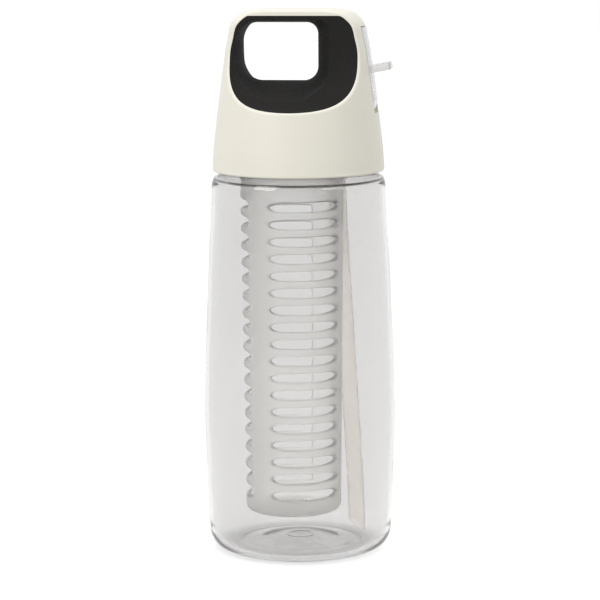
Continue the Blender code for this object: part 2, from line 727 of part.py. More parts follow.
def make_insert():
    bead_low = SNAP_Z - SNAP_H / 2
    bead_high = SNAP_Z + SNAP_H / 2
    outline = [
        (0.0, INSERT_TOP_Z),
        (INSERT_R, INSERT_TOP_Z),
        (INSERT_R, bead_high + SNAP_BEAD),
        (INSERT_R + SNAP_BEAD, bead_high),
        (INSERT_R + SNAP_BEAD, bead_low),
        (INSERT_R, bead_low - SNAP_BEAD),
        (INSERT_R, INSERT_BOTTOM_Z),
        (INSERT_BORE_R, INSERT_BOTTOM_Z),
        (INSERT_BORE_R, INSERT_CEILING_Z),
        (0.0, INSERT_CEILING_Z),
    ]
    insert = turned("lid_insert", outline, PARTS)
    thread_z = THREAD_Z - THREAD_PITCH / 2
    join(insert, ridge("lid_thread", INSERT_BORE_R, INSERT_BORE_R - THREAD_DEEP, thread_z, CUTTERS))
    inside_floor = INSERT_CEILING_Z + INSERT_FLOOR / 2
    boss_r = BASKET_BORE_R - GAP
    boss = [
        (boss_r, inside_floor),
        (boss_r, INSERT_CEILING_Z - BOSS_LENGTH),
        (boss_r - BOSS_WALL, INSERT_CEILING_Z - BOSS_LENGTH),
        (boss_r - BOSS_WALL, inside_floor),
    ]
    join(insert, turned("basket_boss", boss, CUTTERS, BASKET_STEPS, True, BASKET))
    foot_z = INSERT_CEILING_Z - NIPPLE_LENGTH
    join(insert, rod("nipple", (*STRAW_TOP, foot_z), (*STRAW_TOP, inside_floor), NIPPLE_R, CUTTERS))
    bore_end = INSERT_TOP_Z + OVERRUN
    bore_start = foot_z - OVERRUN
    nipple_bore = rod("nipple_bore", (*STRAW_TOP, bore_start), (*STRAW_TOP, bore_end), NIPPLE_BORE_R, CUTTERS)
    vent_start = INSERT_CEILING_Z - OVERRUN
    vent_hole = rod("vent_hole", (*VENT, vent_start), (*VENT, bore_end), VENT_STEM_R + GAP, CUTTERS)
    cut(insert, nipple_bore, vent_hole)
    finish(insert, material("cream inner plastic", (0.76, 0.74, 0.67), 0.4))


def make_vent():
    head_top = INSERT_CEILING_Z - GAP
    knob_low = INSERT_TOP_Z + GAP
    outline = [
        (0.0, knob_low + VENT_KNOB_H),
        (VENT_STEM_R, knob_low + VENT_KNOB_H),
        (VENT_KNOB_R, knob_low),
        (VENT_STEM_R, knob_low),
        (VENT_STEM_R, head_top),
        (VENT_HEAD_R, head_top),
        (VENT_HEAD_R / 2, head_top - VENT_HEAD_H),
        (0.0, head_top - VENT_HEAD_H),
    ]
    vent = turned("vent_valve", outline, PARTS, SMALL_STEPS, False, VENT)
    finish(vent, material("vent silicone", (0.7, 0.7, 0.69), 0.5))


def make_duct_cover():
    outside = [(x, y, DUCT_Z) for x, y in stadium(STRAW_TOP, DUCT_END, DUCT_HALF_OUTSIDE, 8)]
    cover = prism("duct_cover", outside, (0.0, 0.0, DUCT_TOP_Z - DUCT_Z), PARTS)
    inside = [(x, y, DUCT_Z - OVERRUN) for x, y in stadium(STRAW_TOP, DUCT_END, DUCT_HALF_WIDTH, 8)]
    hollow = prism("duct_hollow", inside, (0.0, 0.0, DUCT_TOP_Z - DUCT_ROOF - DUCT_Z + OVERRUN), CUTTERS)
    outlet_start = (*DUCT_END, PIVOT_Z - GAP)
    outlet_end = (SEAT_DUCT_X + OVERRUN, DUCT_END[1], PIVOT_Z - GAP)
    outlet = rod("duct_outlet", outlet_start, outlet_end, SPOUT_BORE_R - GAP, CUTTERS)
    cut(cover, hollow, outlet)
    finish(cover, material("duct plastic", (0.74, 0.73, 0.68), 0.4))


def make_seat():
    seat = box(
        "spout_seat",
        (SEAT_DUCT_X, -SEAT_HALF_WIDTH, PIVOT_Z - SEAT_HALF_HEIGHT),
        (SEAT_BARREL_X, SEAT_HALF_WIDTH, PIVOT_Z + SEAT_HALF_HEIGHT),
        PARTS,
    )
    reach = SEAT_HALF_WIDTH + OVERRUN
    start = (PIVOT_X, -reach, PIVOT_Z)
    hollow = rod("seat_hollow", start, (PIVOT_X, reach, PIVOT_Z), BARREL_R + GAP, CUTTERS, FINE_STEPS)
    bore_start = (SEAT_DUCT_X - OVERRUN, 0.0, PIVOT_Z)
    bore = rod("seat_bore", bore_start, (PIVOT_X, 0.0, PIVOT_Z), SPOUT_BORE_R, CUTTERS)
    cut(seat, hollow, bore)
    finish(seat, material("seat silicone", (0.72, 0.72, 0.71), 0.5))


# Spout


def make_spout():
    half = SPOUT_WIDTH / 2
    skin_x = lid_radius(SPOUT_SKIN_Z) + SPOUT_PROUD
    outside = LID_R + OVERRUN
    toe = (PIVOT_X + BARREL_R * math.cos(TAB_RISE), PIVOT_Z + BARREL_R * math.sin(TAB_RISE))
    heel = (PIVOT_X - BARREL_R / 2, PIVOT_Z)
    outline = [toe, (skin_x, SPOUT_SKIN_Z), (outside, SPOUT_SKIN_Z)] + spout_side(SPOUT_THICK, MOUTH_R, outside)
    outline.append(heel)
    spout = prism("flip_spout", [(x, -half, z) for x, z in outline], (0.0, 2 * half, 0.0), PARTS)
    skin = turned("spout_skin", lid_profile(-SPOUT_PROUD), CUTTERS, 2 * ROUND_STEPS)
    keep_inside(spout, skin)

    barrel = rod("barrel", (PIVOT_X, -half, PIVOT_Z), (PIVOT_X, half, PIVOT_Z), BARREL_R, CUTTERS, FINE_STEPS)
    stub_y = half + STUB_LENGTH
    stubs = rod("stubs", (PIVOT_X, -stub_y, PIVOT_Z), (PIVOT_X, stub_y, PIVOT_Z), STUB_R, CUTTERS)
    join(spout, barrel, stubs, make_tab())

    pivot = Vector((PIVOT_X, 0.0, PIVOT_Z))
    mouth = Vector((lid_radius(SPOUT_TOP_Z) - SPOUT_THICK / 2, 0.0, SPOUT_TOP_Z))
    bore = rod("spout_bore", pivot, mouth + (mouth - pivot).normalized() * OVERRUN, SPOUT_BORE_R, CUTTERS)
    # The port faces the seat's bore once the spout has swung open.
    inwards = Vector((-math.cos(SPOUT_OPEN), 0.0, -math.sin(SPOUT_OPEN)))
    port = rod("spout_port", pivot, pivot + inwards * (BARREL_R + OVERRUN), SPOUT_BORE_R, CUTTERS)
    cut(spout, bore, port)
    finish(spout, material("clear spout plastic", (0.8, 0.8, 0.8), 0.1, alpha=0.4))


def make_tab():
    """The thumb tab, a plate with round corners that stands square to the plate's face."""
    root_x = lid_radius(TAB_Z) - SPOUT_THICK / 4
    length = (TAB_TIP_X - root_x) / math.cos(TAB_RISE)
    shape = bmesh.new()
    add_box(shape, (0.0, -TAB_WIDTH / 2, -TAB_THICK / 2), (length, TAB_WIDTH / 2, TAB_THICK / 2))
    tip = [edge for edge in shape.edges if all(v.co.x > length / 2 for v in edge.verts)]
    bmesh.ops.bevel(shape, geom=tip, offset=TAB_ROUND, segments=2, profile=0.5, affect="EDGES", material=-1)
    place = Matrix.Translation((root_x, 0.0, TAB_Z)) @ Matrix.Rotation(-TAB_RISE, 4, "Y")
    bmesh.ops.transform(shape, matrix=place, verts=shape.verts)
    return add_object("thumb_tab", shape, CUTTERS)


# Straw


def straw_points(overrun):
    """Centre points from the top, straight down over the nipple, then to the foot in one easy bend."""
    bend_z = STRAW_TOP_Z - NIPPLE_LENGTH
    points = [Vector((*STRAW_TOP, STRAW_TOP_Z + overrun))]
    for down, across in STRAW_BEND_SHARES:
        place = Vector(STRAW_TOP).lerp(Vector(STRAW_FOOT), across)
        points.append(Vector((*place, bend_z + (STRAW_FOOT_Z - bend_z) * down)))
    points[-1] += (points[-1] - points[-2]).normalized() * overrun
    return points


def tube(name, points, radius, collection):
    """A round solid along the points, as a closed mesh."""
    curve = bpy.data.curves.new(name, "CURVE")
    curve.dimensions = "3D"
    curve.bevel_depth = radius
    curve.bevel_resolution = STRAW_SIDES // 2 - 2
    curve.use_fill_caps = True
    spline = curve.splines.new("POLY")
    spline.points.add(len(points) - 1)
    for point, place in zip(spline.points, points):
        point.co = (*place, 1.0)
    drawn = bpy.data.objects.new(name + "_line", curve)
    collection.objects.link(drawn)
    bpy.context.view_layer.update()
    evaluated = drawn.evaluated_get(bpy.context.evaluated_depsgraph_get())
    mesh = bpy.data.meshes.new_from_object(evaluated)
    bpy.data.objects.remove(drawn)
    shape = bmesh.new()
    shape.from_mesh(mesh)
    bpy.data.meshes.remove(mesh)
    bmesh.ops.remove_doubles(shape, verts=shape.verts, dist=MERGE)
    return add_object(name, shape, collection)


def make_straw():
    straw = tube("straw", straw_points(0.0), STRAW_R, PARTS)
    bore = tube("straw_bore", straw_points(OVERRUN), STRAW_R - STRAW_WALL, CUTTERS)
    size = 4 * STRAW_R
    shape = bmesh.new()
    add_box(shape, (-size, -size, -size), (size, size, 0.0))
    # Turned so that the cut rises towards the middle of the body.
    foot = Matrix.Translation((*STRAW_FOOT, STRAW_FOOT_Z + STRAW_R * math.tan(STRAW_SLANT)))
    bmesh.ops.transform(shape, matrix=foot @ Matrix.Rotation(STRAW_SLANT, 4, "Y"), verts=shape.verts)
    cut(straw, bore, add_object("straw_slant", shape, CUTTERS))
    finish(straw, material("tinted straw plastic", (0.72, 0.64, 0.6), 0.35, alpha=0.7))


# Basket


def slot_cutters():
    """Every slot as one mesh of separate bars with round ends."""
    shape = bmesh.new()
    for angle, half_angle, height, rise in SLOT_COLUMNS:
        outwards = Vector((math.sin(angle), -math.cos(angle), 0.0))
        across = Vector((math.cos(angle), math.sin(angle), 0.0))
        for row in range(SLOT_ROWS):
            z = SLOT_FIRST_Z + SLOT_PITCH * row + rise
            share = (z - BASKET_FOOT_Z) / (BASKET_COLLAR_Z - BASKET_FOOT_Z)
            radius = BASKET_FOOT_R + (BASKET_TOP_R - BASKET_FOOT_R) * share
            half = radius * math.sin(half_angle) - height / 2
            near = radius * math.cos(half_angle) - 2 * BASKET_WALL
            base = Vector((*BASKET, z)) + outwards * near
            flat = stadium((-half, 0.0), (half, 0.0), height / 2, SLOT_END_STEPS)
            outline = [base + across * a + Vector((0.0, 0.0, b)) for a, b in flat]
            add_prism(shape, outline, outwards * (radius + OVERRUN - near))
    return add_object("slots", shape, CUTTERS)


def drain_cutters():
    shape = bmesh.new()
    for index in range(DRAIN_HOLES):
        angle = 2 * math.pi * index / DRAIN_HOLES
        bmesh.ops.create_cone(
            shape,
            cap_ends=True,
            segments=SMALL_STEPS // 2,
            radius1=DRAIN_R,
            radius2=DRAIN_R,
            depth=4 * BASKET_FLOOR,
            matrix=Matrix.Translation((*around(BASKET, DRAIN_RING_R, angle), BASKET_FOOT_Z)),
        )
    return add_object("drain_holes", shape, CUTTERS)


def make_basket():
    corner = arc(
        (BASKET_FOOT_R - BASKET_CORNER, BASKET_FOOT_Z + BASKET_CORNER), BASKET_CORNER, 0.0, -math.pi / 2, 3
    )
    inside = [
        (0.0, BASKET_FOOT_Z + BASKET_FLOOR),
        (BASKET_FOOT_R - BASKET_CORNER, BASKET_FOOT_Z + BASKET_FLOOR),
        (BASKET_FOOT_R - BASKET_WALL, BASKET_FOOT_Z + BASKET_CORNER),
        (BASKET_BORE_R, BASKET_COLLAR_Z),
        (BASKET_BORE_R, BASKET_TOP_Z),
    ]
    outside = [(BASKET_TOP_R, BASKET_TOP_Z), (BASKET_TOP_R, BASKET_COLLAR_Z)] + corner + [(0.0, BASKET_FOOT_Z)]
    basket = turned("infuser_basket", inside + outside, PARTS, BASKET_STEPS, False, BASKET)
    cut(basket, slot_cutters(), drain_cutters())
    finish(basket, material("frosted plastic", (0.72, 0.72, 0.71), 0.4, alpha=0.75))


start_clean()
PARTS = new_collection("infuser_bottle")
CUTTERS = new_collection("cutters")
make_body()
make_seal()
make_shell()
make_grip()
make_insert()
make_vent()
make_duct_cover()
make_seat()
make_spout()
make_straw()
make_basket()
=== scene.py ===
import math

import bmesh
import bpy
import numpy as np
from bmesh.types import BMEdge, BMVert
from mathutils import Matrix, Vector
from mathutils.geometry import interpolate_bezier


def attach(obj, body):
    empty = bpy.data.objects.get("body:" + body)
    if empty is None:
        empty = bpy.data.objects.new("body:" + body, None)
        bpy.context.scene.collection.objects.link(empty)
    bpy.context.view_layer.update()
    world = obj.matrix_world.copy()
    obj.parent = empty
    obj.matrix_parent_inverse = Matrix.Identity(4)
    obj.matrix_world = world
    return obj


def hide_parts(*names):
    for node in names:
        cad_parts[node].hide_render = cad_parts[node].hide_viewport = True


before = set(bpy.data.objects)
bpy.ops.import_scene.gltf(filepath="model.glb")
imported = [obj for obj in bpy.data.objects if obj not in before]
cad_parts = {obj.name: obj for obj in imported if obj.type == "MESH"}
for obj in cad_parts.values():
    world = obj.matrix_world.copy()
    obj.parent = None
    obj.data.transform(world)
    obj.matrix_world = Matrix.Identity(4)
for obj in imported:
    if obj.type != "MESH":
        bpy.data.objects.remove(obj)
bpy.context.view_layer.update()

# Shapes are worked out in millimetres and become metres when a piece is placed. The camera, the lamps, the floor and
# the grain of a finish are in metres.
MM = 0.001
WELD = 0.002

# Camera: its heading, pitch and roll in degrees, the point it faces and how far it stands from that
CAMERA_AZIMUTH = 7.5
CAMERA_PITCH = 8.9
CAMERA_ROLL = -0.36
CAMERA_LENS = 163.7
CAMERA_SENSOR = 36.0
CAMERA_SHIFT = 0.7 / 600.0
CAMERA_AIM = (0.0, 0.0, 0.112)
CAMERA_AWAY = 1.22

# Lid: radius and height of its outside, from the rim to the flat top
LID_OUTSIDE = (
    (38.2, 170.5),
    (37.70, 179.01),
    (36.50, 190.0),
    (35.20, 200.49),
    (33.81, 211.2),
    (32.65, 219.0),
    (31.90, 224.5),
    (30.79, 229.7),
    (30.29, 232.4),
    (29.49, 235.02),
    (27.70, 237.57),
    (24.41, 240.2),
    (19.00, 241.36),
    (13.00, 241.38),
    (0.0, 241.38),
)
LID_TOP = 241.38
LID_RIM_R = 38.2
LID_RIM_Z = 170.5
LID_RIM_ROUND = 0.9
FLAT_TOP_R = 27.0
SHELL_ROWS = 30
LIP_GAP = 1.1
LIP_ROUND = 0.8
LAND_INSET = 0.9
LAND_DROP = 2.1
POCKET_DEPTH = 1.9

# Inside of the lid's skirt from the rim up, with the groove that the insert snaps into
SKIRT_BORE = (
    (35.3, 170.5),
    (34.85, 170.65),
    (34.7, 171.2),
    (34.7, 178.4),
    (35.2, 178.9),
    (35.2, 181.1),
    (34.7, 181.6),
    (34.7, 195.1),
)

# Room in the lid over the insert: a low round part up to the spout, and boxes from one corner to the opposite one
ROOM_OUTLINE = ((0.0, 197.0), (31.0, 197.0), (31.0, 194.0), (0.0, 194.0))
ROOM_END = (22.25, -15.0, 193.0), (38.5, 15.0, 205.0)
DUCT_ROOM = (-20.0, -14.0, 194.0), (22.25, 20.8, 202.4)
SEAT_POCKET = (21.0, -5.3, 196.5), (31.0, 5.3, 202.7)

# Lining of the scoops and the finger hole
LINING_INSET = 1.0
LINING_DROP = 2.2
LINING_THICK = 1.6
LINING_EDGE_ROUND = 0.25
LINING_CREASE_ROUND = 0.5

# Scoops: upright from the top, then an elliptic curve outwards
SCOOP_START_Z = 243.0
SCOOP_FLAT = 13.4
SCOOP_REACH = 29.5
SCOOP_TURN_Z = 228.0
SCOOP_H = 30.7
SCOOP_AXIS_Y = SCOOP_FLAT + SCOOP_REACH
SCOOP_END_Y = 30.0

# Finger hole: its sides on the middle plane, and how much farther out they lie where the scoops turn
HOLE_RIGHT = 9.2
HOLE_LEFT = -24.8
HOLE_TOP = 235.9
HOLE_BOTTOM = 210.3
HOLE_MIDDLE = (-6.0, 223.0)
EASE_RIGHT = 6.5
EASE_LEFT = 1.2
EASE_TOP = 1.6
FLARE_REACH = 26.0
FLARE_EASE = 8.0
FLARE_BOTTOM = 7.46

# Its corners, anticlockwise from the top right: the radius, and how it grows up to the scoop's turn and beyond it
HOLE_CORNERS = ((5.0, 0.0, 0.0), (7.5, 3.5, 0.0), (9.0, 0.0, 7.0), (6.5, 0.0, 7.0))

# Points round the hole and the scoop, and how an edge is searched for: the farthest it can be, and the halvings
AROUND = 288
SEARCH_REACH = 80.0
HALVINGS = 26

# Spout: the pivot as (x, z), the plate, its barrel with a stub at each end, and the duct through it, whose port
# points down at PORT_TILT in radians
PIVOT = (31.0015, 199.6)
SPOUT_HALF = 7.5
SPOUT_SIDE_X = 39.2
SPOUT_BACK_Z = 203.0
SPOUT_TOE = (PIVOT[0] + 2.7, PIVOT[1] + 1.9)
SPOUT_PROUD = 0.2
SKIN_FOOT_R = 38.4
SKIN_FOOT_Z = 165.0
PLATE_DEPTH = 6.4
PLATE_MOUTH_R = 34.4
BARREL_R = 3.5
BARREL_BACK = 1.7
STUB_R = 1.6
STUB_END = 9.3
MOUTH_Z = 234.0
MOUTH_DEPTH = 3.2
DUCT_R = 1.5
PORT_TILT = 1.2217
PORT_LENGTH = 4.4

# Recess that the spout lies in, and the sockets for its stubs
RECESS_HALF = 7.8
RECESS_DEPTH = 6.8
RECESS_MOUTH_R = 34.8
RECESS_FOOT_R = 3.7
RECESS_TOE = ((34.6, 195.9), (35.2, 196.3))
SOCKET_R = 1.9
SOCKET_END = 9.6

# Thumb tab: its height on the lid, how far out its tip is, how it slopes in degrees, and its plate
TAB_Z = 215.42
TAB_TIP_X = 41.44
TAB_SLOPE = 10.5
TAB_SUNK = 0.3
TAB_HALF = 6.5
TAB_HALF_THICK = 1.55
TAB_CORNER = 2.2
TAB_EDGE = 0.5

# Body: outlines as (radius, height)
BODY_R = 42.7
BODY_WALL = 1.6
NECK_LIP_Z = 189.35
NECK_LIP_ROUND = 0.65
BODY_COLLAR = ((32.6, 171.9), (33.6, 170.6), (34.3, 169.6), (35.2, 168.8))
BODY_SIDE = (
    (38.70, 163.4),
    (38.80, 158.0),
    (39.28, 147.0),
    (40.10, 134.6),
    (41.10, 112.7),
    (42.15, 89.1),
    (42.68, 66.0),
    (42.60, 54.0),
    (42.11, 38.0),
    (41.49, 20.2),
    (40.98, 11.0),
)
BODY_DOME = ((25.0, 0.7), (21.5, 1.1), (18.0, 1.7), (14.0, 2.5), (10.0, 3.1), (6.0, 3.45))
BODY_NAVEL = ((5.6, 3.42), (5.2, 3.5), (1.8, 3.6), (0.0, 3.6))
BODY_FLOOR = ((0.0, 5.9), (5.0, 5.75), (10.0, 5.3), (15.0, 4.6), (20.0, 3.8), (24.0, 3.05), (27.0, 2.6))
COLLAR_INSIDE = ((35.0, 167.4), (33.4, 169.0), (31.6, 170.9))
THREAD_SECTION = ((31.4, 175.2), (32.6, 175.6), (32.6, 176.4), (31.4, 176.8))
THREAD_PITCH = 4.0
THREAD_TURNS = 1.5

# Straw: it drops straight from the lid, then leans over in soft bends, given as shares of the way down and across
STRAW_R = 3.85
STRAW_WALL = 0.6
STRAW_TOP = (15.67, 16.0)
STRAW_FOOT = (24.9, 8.0)
STRAW_TOP_Z = 192.0
STRAW_BEND_Z = 183.0
STRAW_FOOT_Z = 6.0
STRAW_SLANT = math.radians(34.0)
STRAW_BENDS = (
    (0.0, 0.0),
    (0.13, 0.04),
    (0.25, 0.13),
    (0.39, 0.30),
    (0.53, 0.48),
    (0.77, 0.79),
    (0.89, 0.93),
    (1.0, 1.0),
)

# Basket: its place as (x, y), its wall, which widens from the foot to the end of the taper, and its drain holes
BASKET = (-2.451, -4.404)
BASKET_TOP_R = 22.87
BASKET_FOOT_R = 21.22
BASKET_WALL = 1.7
BASKET_TOP_Z = 192.0
BASKET_FOOT_Z = 18.0
BASKET_FLOOR_Z = 19.7
BASKET_TAPER_H = 143.0
BASKET_EDGE = 0.4
BASKET_WELD = 0.02
FOOT_ROUND = 3.0
FOOT_ROUND_INSIDE = 1.3
FOOT_ROUND_Z = 21.0
FLOOR_RINGS = (15.0, 7.0, 1.0)
DRAINS = 6
DRAIN_R = 2.2
DRAIN_RING_R = 11.0
DRAIN_FROM_Z = 16.0
DRAIN_TO_Z = 22.0

# Slots: SLOT_MM is how many millimetres of the wall one degree takes
SLOT_ROWS = 18
SLOT_PITCH = 7.5706
SLOT_FIRST_Z = 27.9
SLOT_MM = math.pi * 22.0 / 180.0
SLOT_STRAIGHT_STEPS = 16
SLOT_TURN_STEPS = 12
CELL_PAST_SLOT = 8.0
STRIP_STEP = 5.0
STRIP_SHARES = (-1.0, -0.66, -0.33, 0.0, 0.33, 0.66)

# Columns of slots: where a row starts and ends in degrees, how long its tapered ends are, its half height, its
# rise, and how far the rounded rim goes up, along and in
SLOT_COLUMNS = (
    dict(ends=(-114.0, -51.0), tapers=(4.0, 4.0), half=2.03, rise=0.0, rim=(1.7, 2.2, 1.4)),
    dict(ends=(-19.0, 69.8), tapers=(8.0, 12.5), half=2.03, rise=0.0, rim=(1.0, 2.3, 1.15)),
    dict(ends=(162.4, 217.5), tapers=(0.8, 3.0), half=2.6, rise=1.2, rim=(0.6, 0.7, 0.9)),
)

# Lamps: where each stands, what it faces, its two sides and its power
LAMPS = {
    "key_lamp": ((-0.62, -0.72, 0.75), (0.0, 0.0, 0.13), (0.55, 0.5), 4.95),
    "top_lamp": ((0.05, 0.1, 1.1), (0.0, 0.0, 0.1), (0.7, 0.7), 3.0),
    "side_lamp": ((0.88, -0.58, 0.75), (0.0, 0.0, 0.13), (0.6, 0.25), 1.95),
}

# How much of the white all round falls on the object as light, and the floor's half width
WORLD_ON_OBJECT = 0.62
FLOOR_HALF = 4.0
WHITE = (1.0, 1.0, 1.0, 1.0)


def in_scene(name, data):
    """A new object of the scene with this mesh, camera or lamp."""
    made = bpy.data.objects.new(name, data)
    bpy.context.scene.collection.objects.link(made)
    return made


def add_camera():
    """It stands in front, a little to the right and above, as in the photo."""
    azimuth = math.radians(CAMERA_AZIMUTH)
    pitch = math.radians(CAMERA_PITCH)
    data = bpy.data.cameras.new("photo_camera")
    data.lens = CAMERA_LENS
    data.sensor_width = CAMERA_SENSOR
    data.shift_x = CAMERA_SHIFT
    camera = in_scene("photo_camera", data)
    back = Vector((math.sin(azimuth) * math.cos(pitch), -math.cos(azimuth) * math.cos(pitch), math.sin(pitch)))
    turn = back.to_track_quat("Z", "Y").to_matrix().to_4x4()
    roll = Matrix.Rotation(math.radians(CAMERA_ROLL), 4, "Z")
    camera.matrix_world = Matrix.Translation(Vector(CAMERA_AIM) + CAMERA_AWAY * back) @ turn @ roll
    bpy.context.scene.camera = camera


def smooth_line(points, steps):
    """More points on one smooth curve through the given ones."""
    spots = [Vector(point) for point in points]
    spots = spots[:1] + spots + spots[-1:]
    line = []
    for before, start, end, after in zip(spots, spots[1:], spots[2:], spots[3:]):
        first = start + (end - before) / 6
        second = end - (after - start) / 6
        line += interpolate_bezier(start, first, second, end, steps + 1)[:-1]
    return line + [spots[-1]]


def arc(centre, radius, start, end, steps):
    """Points on an arc between two angles in degrees."""
    angles = [math.radians(start + (end - start) * step / steps) for step in range(steps + 1)]
    return [(centre[0] + radius * math.cos(a), centre[1] + radius * math.sin(a)) for a in angles]


# Placing and combining shapes


def as_mesh(name, shape):
    """The shape as a mesh. It uses the shape up."""
    mesh = bpy.data.meshes.new(name)
    shape.to_mesh(mesh)
    shape.free()
    return mesh


def add_piece(name, shape, body, node, finish, sharp):
    """The shape as a piece that rides on a body, stands for its node and has its finish."""
    bmesh.ops.scale(shape, vec=(MM, MM, MM), verts=shape.verts)
    mesh = as_mesh(name, shape)
    mesh.materials.append(finish)
    mesh.shade_smooth()
    mesh.set_sharp_from_angle(angle=math.radians(sharp))
    piece = in_scene(name, mesh)
    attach(piece, body)
    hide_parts(node)


def worked(shape, *steps):
    """The shape after modifiers, each given as its kind and settings."""
    mesh = as_mesh("blank", shape)
    blank = in_scene("blank", mesh)
    for kind, settings in steps:
        step = blank.modifiers.new(kind, kind)
        for key, value in settings.items():
            setattr(step, key, value)
    bpy.context.view_layer.update()
    result = bpy.data.meshes.new_from_object(blank.evaluated_get(bpy.context.evaluated_depsgraph_get()))
    made = bmesh.new()
    made.from_mesh(result)
    bpy.data.objects.remove(blank)
    bpy.data.meshes.remove(mesh)
    bpy.data.meshes.remove(result)
    return made


def combined(shape, operation, *tools):
    """The shape joined with, cut by, or kept inside each of the tools."""
    helpers = [in_scene("tool", as_mesh("tool", tool)) for tool in tools]
    steps = [("BOOLEAN", {"operation": operation, "solver": "EXACT", "object": helper}) for helper in helpers]
    made = worked(shape, *steps)
    for helper in helpers:
        bpy.data.objects.remove(helper)
    weld(made)
    return made


def weld(shape, distance=WELD):
    """Joins points that lie closer than a distance."""
    bmesh.ops.remove_doubles(shape, verts=shape.verts, dist=distance)


def face_out(shape):
    """Turns every face outwards."""
    bmesh.ops.recalc_face_normals(shape, faces=shape.faces)


def soften(shape, edges, size, segments, clamp=False):
    """Rounds these edges."""
    bmesh.ops.bevel(
        shape,
        geom=edges,
        offset=size,
        segments=segments,
        profile=0.5,
        affect="EDGES",
        material=-1,
        clamp_overlap=clamp,
    )


def made_of(kind, grown):
    """The new points, or the new edges, among what an operator made."""
    return [item for item in grown["geom"] if isinstance(item, kind)]


def carried_on(shape, rim, rings):
    """Carries an open edge round the upright axis on through rings of (radius, height)."""
    for radius, z in rings:
        grown = bmesh.ops.extrude_edge_only(shape, edges=rim)
        for spot in made_of(BMVert, grown):
            flat = Vector((spot.co.x, spot.co.y)).normalized() * radius
            spot.co = (flat.x, flat.y, z)
        rim = made_of(BMEdge, grown)
    return rim


# Plain shapes


def spun(outline, steps):
    """A shape turned about the upright axis from its (radius, height) outline, which ends on the axis."""
    shape = bmesh.new()
    spots = [shape.verts.new((radius, 0.0, z)) for radius, z in outline]
    lines = [shape.edges.new(pair) for pair in zip(spots, spots[1:])]
    bmesh.ops.spin(
        shape,
        geom=spots + lines,
        cent=(0.0, 0.0, 0.0),
        axis=(0.0, 0.0, 1.0),
        angle=2 * math.pi,
        steps=steps,
        use_merge=True,
    )
    weld(shape)
    face_out(shape)
    return shape


def block(low, high):
    """A box between two opposite corners."""
    shape = bmesh.new()
    size = Vector(high) - Vector(low)
    place = Matrix.Translation((Vector(low) + Vector(high)) / 2) @ Matrix.Diagonal((*size, 1.0))
    bmesh.ops.create_cube(shape, size=1.0, matrix=place)
    return shape


def rod(start, end, radius, steps=48, edge=0.0):
    """A round bar, with its end edges rounded where an edge size is given."""
    way = Vector(end) - Vector(start)
    turn = way.to_track_quat("Z", "Y").to_matrix().to_4x4()
    shape = bmesh.new()
    place = Matrix.Translation((Vector(start) + Vector(end)) / 2) @ turn
    bmesh.ops.create_cone(
        shape, cap_ends=True, segments=steps, radius1=radius, radius2=radius, depth=way.length, matrix=place
    )
    if edge:
        ends = [line for line in shape.edges if any(len(face.verts) > 4 for face in line.link_faces)]
        soften(shape, ends, edge, 3)
    return shape


def pivot_rod(half, radius, steps=48, edge=0.0):
    """A round bar along the spout's pivot, this far to each side of the middle plane."""
    return rod((PIVOT[0], -half, PIVOT[1]), (PIVOT[0], half, PIVOT[1]), radius, steps, edge)


def slab(outline, half):
    """A flat (x, z) outline made as thick as twice the half width, along y."""
    shape = bmesh.new()
    face = shape.faces.new([shape.verts.new((x, -half, z)) for x, z in outline])
    grown = bmesh.ops.extrude_face_region(shape, geom=[face])
    bmesh.ops.translate(shape, verts=made_of(BMVert, grown), vec=(0.0, 2 * half, 0.0))
    face_out(shape)
    return shape


def lofted(rings, soft=()):
    """A grid wrapped round closed rings of points. soft pairs a ring's number with how far its edge is rounded."""
    shape = bmesh.new()
    count = len(rings[0])
    last = len(rings) - 1
    bmesh.ops.create_grid(shape, x_segments=count, y_segments=last, size=1.0)
    number = shape.edges.layers.int.new("ring")
    row_of = {}
    for spot in shape.verts:
        column = round((spot.co.x + 1.0) / 2.0 * count) % count
        row_of[spot] = round((spot.co.y + 1.0) / 2.0 * last)
        spot.co = rings[row_of[spot]][column]
    for line in shape.edges:
        first, second = (row_of[spot] for spot in line.verts)
        if first == second:
            line[number] = first + 1
    weld(shape)
    for row, size in soft:
        edges = [line for line in shape.edges if line[number] == row + 1]
        soften(shape, edges, size, 4, clamp=True)
    return shape


def both_halves(shape):
    """Adds the mirror image of the front half, joined to it on the middle plane."""
    everything = shape.verts[:] + shape.edges[:] + shape.faces[:]
    bmesh.ops.mirror(shape, geom=everything, matrix=Matrix.Identity(4), merge_dist=WELD, axis="Y")
    weld(shape)
    face_out(shape)


# The lid's outside and the hollows in it

LID_LINE = [(spot.x, min(spot.y, LID_TOP)) for spot in smooth_line(LID_OUTSIDE, 8)]
LID_RADII = np.array([radius for radius, _ in LID_LINE])
LID_HEIGHTS = np.array([z for _, z in LID_LINE])
LID_ALONG = np.concatenate(([0.0], np.cumsum(np.hypot(np.diff(LID_RADII), np.diff(LID_HEIGHTS)))))
LID_LENGTH = LID_ALONG[-1]
HEADINGS = [2 * math.pi * step / AROUND for step in range(AROUND)]
SCOOP_MIDDLE = (HOLE_MIDDLE[0], SCOOP_START_Z - HOLE_MIDDLE[1])

# Curves that were worked out before, by how deep they lie
SKINS = {}
SCOOPS = {}


def lid_radius(z, inset=0.0):
    """Radius of the lid's outside at a height, or of a skin this far inside it."""
    if inset not in SKINS:
        slope = np.gradient(LID_RADII, LID_ALONG), np.gradient(LID_HEIGHTS, LID_ALONG)
        size = np.hypot(*slope)
        SKINS[inset] = LID_HEIGHTS + inset * slope[0] / size, LID_RADII - inset * slope[1] / size
    heights, radii = SKINS[inset]
    return float(np.interp(z, heights, radii))


